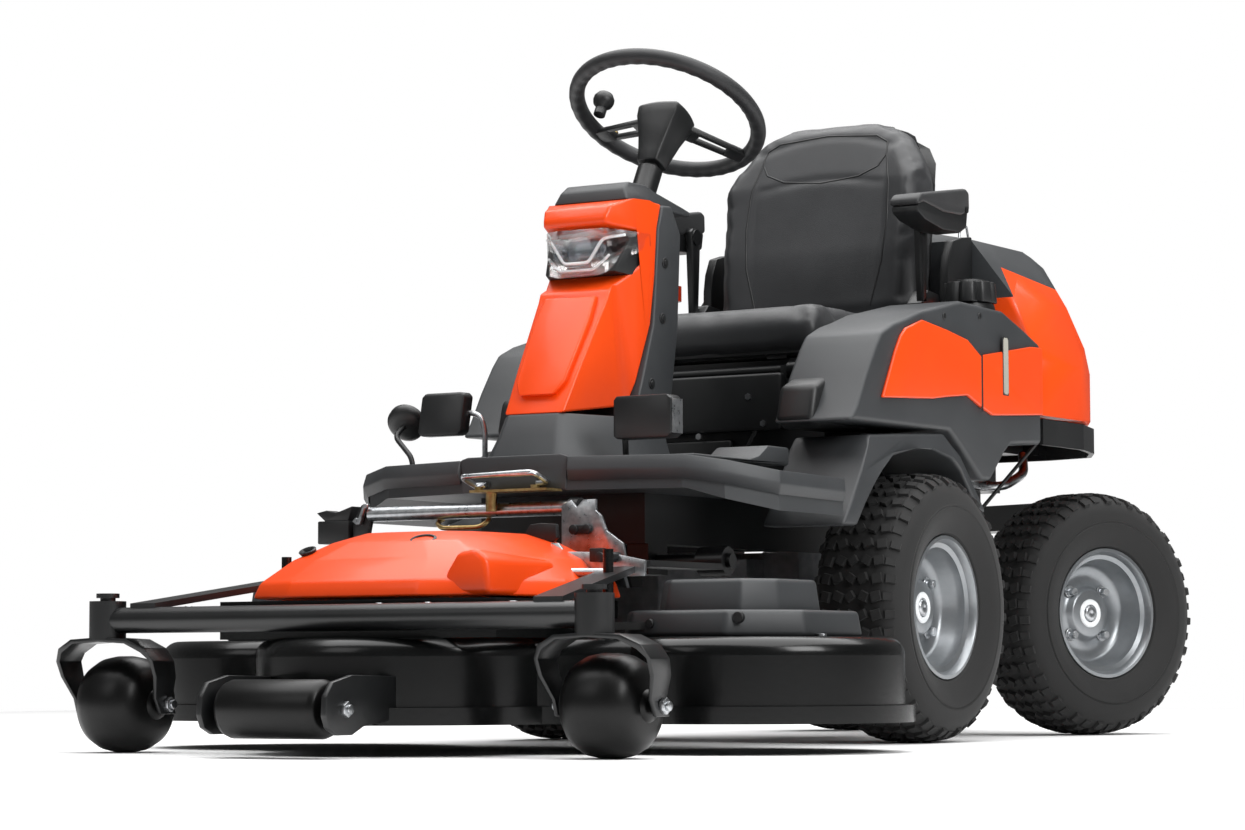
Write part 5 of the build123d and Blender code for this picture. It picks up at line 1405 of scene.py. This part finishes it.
@dataclass
class CutterDeck(Assembly):
    """Moulded covers, fasteners, roller bracket and casters of the cutting deck."""

    def cover(self) -> None:
        """Loft the faceted pulley cover and sink its fixing holes."""
        bm = bmesh.new()
        levels = ((236, ((120, -1138), (204, -1114), (238, -1040), (262, -940), (262, -792))),
                  (260, ((118, -1132), (196, -1107), (230, -1036), (254, -938), (254, -794))),
                  (296, ((104, -1082), (168, -1060), (200, -1004), (216, -930), (216, -798))),
                  (322, ((70, -1046), (118, -1028), (146, -980), (158, -920), (158, -802))),
                  (338, ((40, -1000), (76, -990), (98, -956), (104, -910), (104, -806))))
        loops: list[bmesh.types.BMEdge] = []
        for z, half in levels:
            ring = [bm.verts.new(spot(x, y, z)) for x, y in half]
            ring += [bm.verts.new(spot(-x, y, z)) for x, y in reversed(half)]
            edges = [bm.edges.new((a, b)) for a, b in zip(ring, ring[1:] + ring[:1])]
            if loops:
                bmesh.ops.bridge_loops(bm, edges=loops + edges)
            loops = edges
        bmesh.ops.holes_fill(bm, edges=[e for e in bm.edges if e.is_boundary], sides=0)
        bmesh.ops.recalc_face_normals(bm, faces=bm.faces[:])
        round_edges(bm, 5, 3, 12)
        self.piece("deck_cover_faceted", bm, ORANGE_ASA, "deck", ("deck_cover",), smooth=34)
        bm = bmesh.new()
        bulge = add_prism(bm, [(150, 236), (236, 236), (230, 290), (210, 306), (176, 300), (156, 270)],
                          Plane.FRONT, -1116, -930)
        for v in bulge:
            if v.co.y > spot(0, -1000, 0).y:
                v.co.z = min(v.co.z, 0.29)
        round_edges(bm, 14, 4, 20)
        self.piece("deck_cover_lobe", bm, ORANGE_ASA, "deck", smooth=40)
        bm = bmesh.new()
        for x, y, z, wide in ((61, -1036, 322, 15), (-150, -1046, 309, 12)):
            place = facing(spot(x, y, z), (x * 0.001, -0.5, 0.86)) @ Matrix.Diagonal((1, 1.5, 1, 1))
            add_lathe(bm, [(-4, 0), (-4, wide - 2), (2.6, wide), (3.6, wide - 1), (3.6, wide - 3), (-2, wide - 5),
                           (-2, 0)], place, 36)
        self.piece("deck_cover_wells", bm, BLACK_PP, "deck")

    def belt_cover(self, side: Side) -> None:
        """Two-tier belt cover with softened shoulders, and its screws.

        Args:
            side: Side of the machine.
        """
        s = side.value
        bm = bmesh.new()
        tiers = (((268, -800), (300, -838), (470, -838), (556, -740), (556, -560), (500, -480), (330, -480),
                  (268, -560)), 176, 216, 10), (((300, -750), (336, -790), (470, -790), (506, -730), (506, -600),
                                                 (464, -556), (340, -556), (300, -600)), 206, 264, 18)
        for plan, low, high, taper in tiers:
            for v in add_prism(bm, [(s * x, y) for x, y in plan], Plane.TOP, low, high):
                if v.co.z > (low + high) / 2 * MM:
                    v.co.x += s * (0.41 - abs(v.co.x)) * taper * 0.004
                    v.co.y += (-0.62 - v.co.y) * taper * 0.004
        round_edges(bm, 7, 3, 24)
        self.piece(f"belt_cover_{side.word}", bm, GREY_PP, "deck", ("belt_covers",) if s > 0 else (), smooth=32)
        bm = bmesh.new()
        add_rod(bm, (s * 486, -826, 204), (s * 486, -818, 204), 9)
        add_rod(bm, (s * 340, -842, 196), (s * 340, -836, 196), 7)
        round_edges(bm, 1, 1)
        self.piece(f"belt_cover_screw_{side.word}", bm, BLACK_PP, "deck")

    def fasteners(self) -> None:
        """Bolt heads on the rail, the shell and the front bar."""
        bm = bmesh.new()
        for x in (-300, 62, 150, 300):
            add_rod(bm, (x, -1150, 216), (x, -1150, 226), 7, segments=6)
        round_edges(bm, 1.0, 1)
        self.piece("bar_bolts", bm, ZINC_PLATE, "lift")
        bm = bmesh.new()
        for s in (-1, 1):
            add_rod(bm, (s * 560, -700, 156), (s * 560, -700, 180), 8, segments=6)
            add_rod(bm, (s * 118, -1310, 71), (s * 126, -1310, 71), 12, segments=6)
            add_rod(bm, (s * 126, -1310, 71), (s * 131, -1310, 71), 7, segments=16)
        round_edges(bm, 1.2, 2)
        self.piece("deck_bolts", bm, ZINC_PLATE, "deck")
        bm = bmesh.new()
        for s in (-1, 1):
            cheek = [(-1354, 62), (-1346, 44), (-1324, 34), (-1290, 34), (-1262, 46), (-1180, 56), (-1180, 118),
                     (-1290, 120), (-1336, 110), (-1352, 90)]
            add_prism(bm, cheek, Plane.SIDE, s * 108, s * 118)
        round_edges(bm, 2, 2)
        self.piece("roller_cheeks", bm, POWDER_COAT, "deck")

    def roller(self) -> None:
        """Turn the scalp roller with rounded shoulders."""
        bm = bmesh.new()
        add_lathe(bm, [(-106, 0), (-106, 9), (-92, 9), (-92, 34), (-88, 40), (-80, 43), (80, 43), (88, 40),
                       (92, 34), (92, 9), (106, 9), (106, 0)], Matrix.Translation(spot(0, -1310, 71)), 64)
        self.piece("scalp_drum", bm, CASTER_RUBBER, "scalp_roller", ("roller",), smooth=40)

    def caster(self, side: Side) -> None:
        """Bent strap fork, nut and barrel-shaped wheel of one caster.

        Args:
            side: Side of the machine.
        """
        x, y, word = side.value * 449.0, -1165.0, side.word
        bm = bmesh.new()
        outer = [(-86, 60), (-84, 84), (-97, 118), (-98, 142), (-86, 162), (-56, 176), (0, 179), (56, 176), (86, 162),
                 (98, 142), (97, 118), (84, 84), (86, 60)]
        inner = [(px * 0.925, pz - (7 if pz > 150 else 0)) for px, pz in outer]
        rows = []
        for (ox, oz), (ix, iz) in zip(outer, inner):
            drop = min(max((176 - oz) / 116, 0.0), 1.0)
            mid, half = y + 6 + 39 * drop, 30 - 12 * drop
            rows.append([bm.verts.new(spot(x + px, py, pz)) for px, pz, py in
                         ((ox, oz, mid - half), (ox, oz, mid + half), (ix, iz, mid + half), (ix, iz, mid - half))])
        for one, two in zip(rows, rows[1:]):
            for k in range(4):
                bm.faces.new((one[k], one[(k + 1) % 4], two[(k + 1) % 4], two[k]))
        bm.faces.new(rows[0])
        bm.faces.new(rows[-1])
        bmesh.ops.recalc_face_normals(bm, faces=bm.faces[:])
        round_edges(bm, 1.4, 2, 30)
        self.piece(f"caster_strap_{word}", bm, POWDER_COAT, f"caster_{word}", (f"caster_fork_{word}",), smooth=40)
        bm = bmesh.new()
        add_rod(bm, (x, y, 176), (x, y, 246), 12)
        add_rod(bm, (x, y, 240), (x, y, 247), 18, segments=24)
        self.piece(f"caster_stem_{word}", bm, POWDER_COAT, f"caster_{word}")
        bm = bmesh.new()
        for s in (-1, 1):
            add_rod(bm, (x + s * 85, y + 45, 75), (x + s * 93, y + 45, 75), 12, segments=6)
            add_rod(bm, (x + s * 93, y + 45, 75), (x + s * 98, y + 45, 75), 7, segments=16)
        round_edges(bm, 1.2, 2)
        self.piece(f"caster_nuts_{word}", bm, ZINC_PLATE, f"caster_{word}")
        bm = bmesh.new()
        profile = [(-70, 14), (-66, 22), (-62, 24), (-60, 38), (-56, 52), (-46, 64), (-30, 72), (-12, 75), (12, 75),
                   (30, 72), (46, 64), (56, 52), (60, 38), (62, 24), (66, 22), (70, 14)]
        add_lathe(bm, [(-70, 0), *profile, (70, 0)], Matrix.Translation(spot(x, y + 45, 75)), 72)
        self.piece(f"caster_tyre_{word}", bm, CASTER_RUBBER, f"caster_wheel_{word}", (f"caster_wheel_{word}",),
                   smooth=50)

    def build(self) -> None:
        """Build covers, fasteners, roller and casters."""
        self.cover()
        self.fasteners()
        self.roller()
        for side in Side:
            self.belt_cover(side)
            self.caster(side)


# ---- Under the seat and behind the axle -------------------------------------------


@dataclass
class Underside(Assembly):
    """Battery panel, hoses and pipes that show between the wheels."""

    def build(self) -> None:
        """Build the panel, its screws, and the pipes."""
        bm = bmesh.new()
        add_block(bm, (-160, -118, 540), (165, -99, 640))
        add_block(bm, (-200, -110, 440), (60, -99, 528))
        round_edges(bm, 6, 3)
        self.piece("battery_panel", bm, BLACK_PP, "chassis")
        bm = bmesh.new()
        for x, z in ((-130, 552), (0, 534), (130, 552), (100, 600)):
            add_rod(bm, (x, -121, z), (x, -117, z), 6, segments=6)
        self.piece("battery_panel_screws", bm, ZINC_PLATE, "chassis")
        for name, route, radius, finish in (
                ("rear_pipe", [(150, 560, 560), (170, 600, 480), (230, 620, 470), (240, 700, 500), (200, 780, 540)],
                 9, ZINC_PLATE),
                ("axle_hose", [(120, 300, 500), (180, 480, 470), (150, 640, 450), (60, 760, 460)], 8, BLACK_PP),
                ("seat_harness", [(-60, -112, 480), (20, -122, 470), (90, -116, 500), (120, -108, 560)], 4,
                 BLACK_PP)):
            self.wire(name, route, radius, finish, "chassis")
        bm = bmesh.new()
        add_rod(bm, (330, 640, 590), (200, 560, 410), 3.5)
        self.piece("stay_rod", bm, BLACK_PP, "chassis")


# ---- Studio -----------------------------------------------------------------------


@dataclass
class Studio:
    """Pale floor, soft lights and the camera."""

    lens_mm: float = 96.94
    eye: Point = (3.002, -5.1247, 0.125)
    yaw: float = 32.04
    pitch: float = 4.36
    roll: float = -0.18
    fill: float = 0.12

    def floor(self) -> None:
        """Lay the flat paper floor."""
        bm = bmesh.new()
        bmesh.ops.create_grid(bm, x_segments=1, y_segments=1, size=4.4)
        mesh = bpy.data.meshes.new("studio_floor")
        bm.to_mesh(mesh)
        bm.free()
        obj = bpy.data.objects.new("studio_floor", mesh)
        bpy.context.scene.collection.objects.link(obj)
        mesh.materials.append(FLOOR_PAPER.build())

    def lamp(self, name: str, place: Point, target: Point, size: float, power: float) -> None:
        """Hang one soft box.

        Args:
            name: Name of the light.
            place: Where it hangs.
            target: What it points at.
            size: Edge in metres.
            power: Watts.
        """
        light = bpy.data.lights.new(name, "AREA")
        light.shape, light.size, light.energy = "SQUARE", size, power
        obj = bpy.data.objects.new(name, light)
        bpy.context.scene.collection.objects.link(obj)
        obj.location = place
        aim = Vector(target) - Vector(place)
        obj.rotation_euler = aim.to_track_quat("-Z", "Y").to_euler()

    def camera(self) -> None:
        """Set the camera at its measured stand."""
        data = bpy.data.cameras.new("camera")
        data.lens, data.sensor_width = self.lens_mm, 36.0
        obj = bpy.data.objects.new("camera", data)
        bpy.context.scene.collection.objects.link(obj)
        yaw, pitch = math.radians(self.yaw), math.radians(self.pitch)
        ahead = Vector((-math.sin(yaw) * math.cos(pitch), math.cos(yaw) * math.cos(pitch), math.sin(pitch)))
        turn = ahead.to_track_quat("-Z", "Y").to_matrix().to_4x4() @ Matrix.Rotation(math.radians(self.roll), 4, "Z")
        obj.matrix_world = Matrix.Translation(self.eye) @ turn
        bpy.context.scene.camera = obj

    def build(self) -> None:
        """Set up floor, lights, surroundings and camera."""
        self.floor()
        bpy.context.scene.view_settings.view_transform = "Standard"
        world = bpy.data.worlds.new("studio")
        world.use_nodes = True
        tree = world.node_tree
        tree.nodes.clear()
        white, dim = (add(tree, "Background", {"Color": (1, 1, 1, 1), "Strength": strength})
                      for strength in (1.0, self.fill))
        seen = add(tree, "LightPath")
        both = add(tree, "MixShader", {}, {0: seen.outputs["Is Camera Ray"], 1: dim.outputs[0],
                                           2: white.outputs[0]})
        add(tree, "OutputWorld", {}, {"Surface": both.outputs[0]})
        bpy.context.scene.world = world
        self.lamp("key", (4.2, -1.6, 2.9), (0, 0, 0.5), 2.0, 130)
        self.lamp("front", (-1.8, -5.0, 3.2), (0, -0.3, 0.5), 2.2, 26)
        self.lamp("top", (0, 0.6, 5.4), (0, 0.6, 0), 8.0, 760)
        self.camera()


def dress_nodes(nodes: dict[str, bpy.types.Object]) -> None:
    """Give every carried-over node its finish.

    Args:
        nodes: Node objects by name.
    """
    for name, obj in nodes.items():
        obj.data.materials.clear()
        obj.data.materials.append(NODE_FINISHES[name].build())


def main() -> None:
    """Build every sub-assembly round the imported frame."""
    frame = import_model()
    dress_nodes(frame["nodes"])
    Studio().build()
    for side in Side:
        RoadWheel(end="front", side=side).build()
        RoadWheel(end="rear", side=side, axle_y=900.0, turn=-22.0).build()
    SteeringWheel().build()
    DriverSeat().build()
    Console().build()
    Bodywork(frame=frame).build()
    Platform().build()
    CutterDeck().build()
    Underside().build()


if __name__ == "__main__":
    logging.basicConfig(level=logging.INFO, format="%(name)s: %(message)s")
    main()
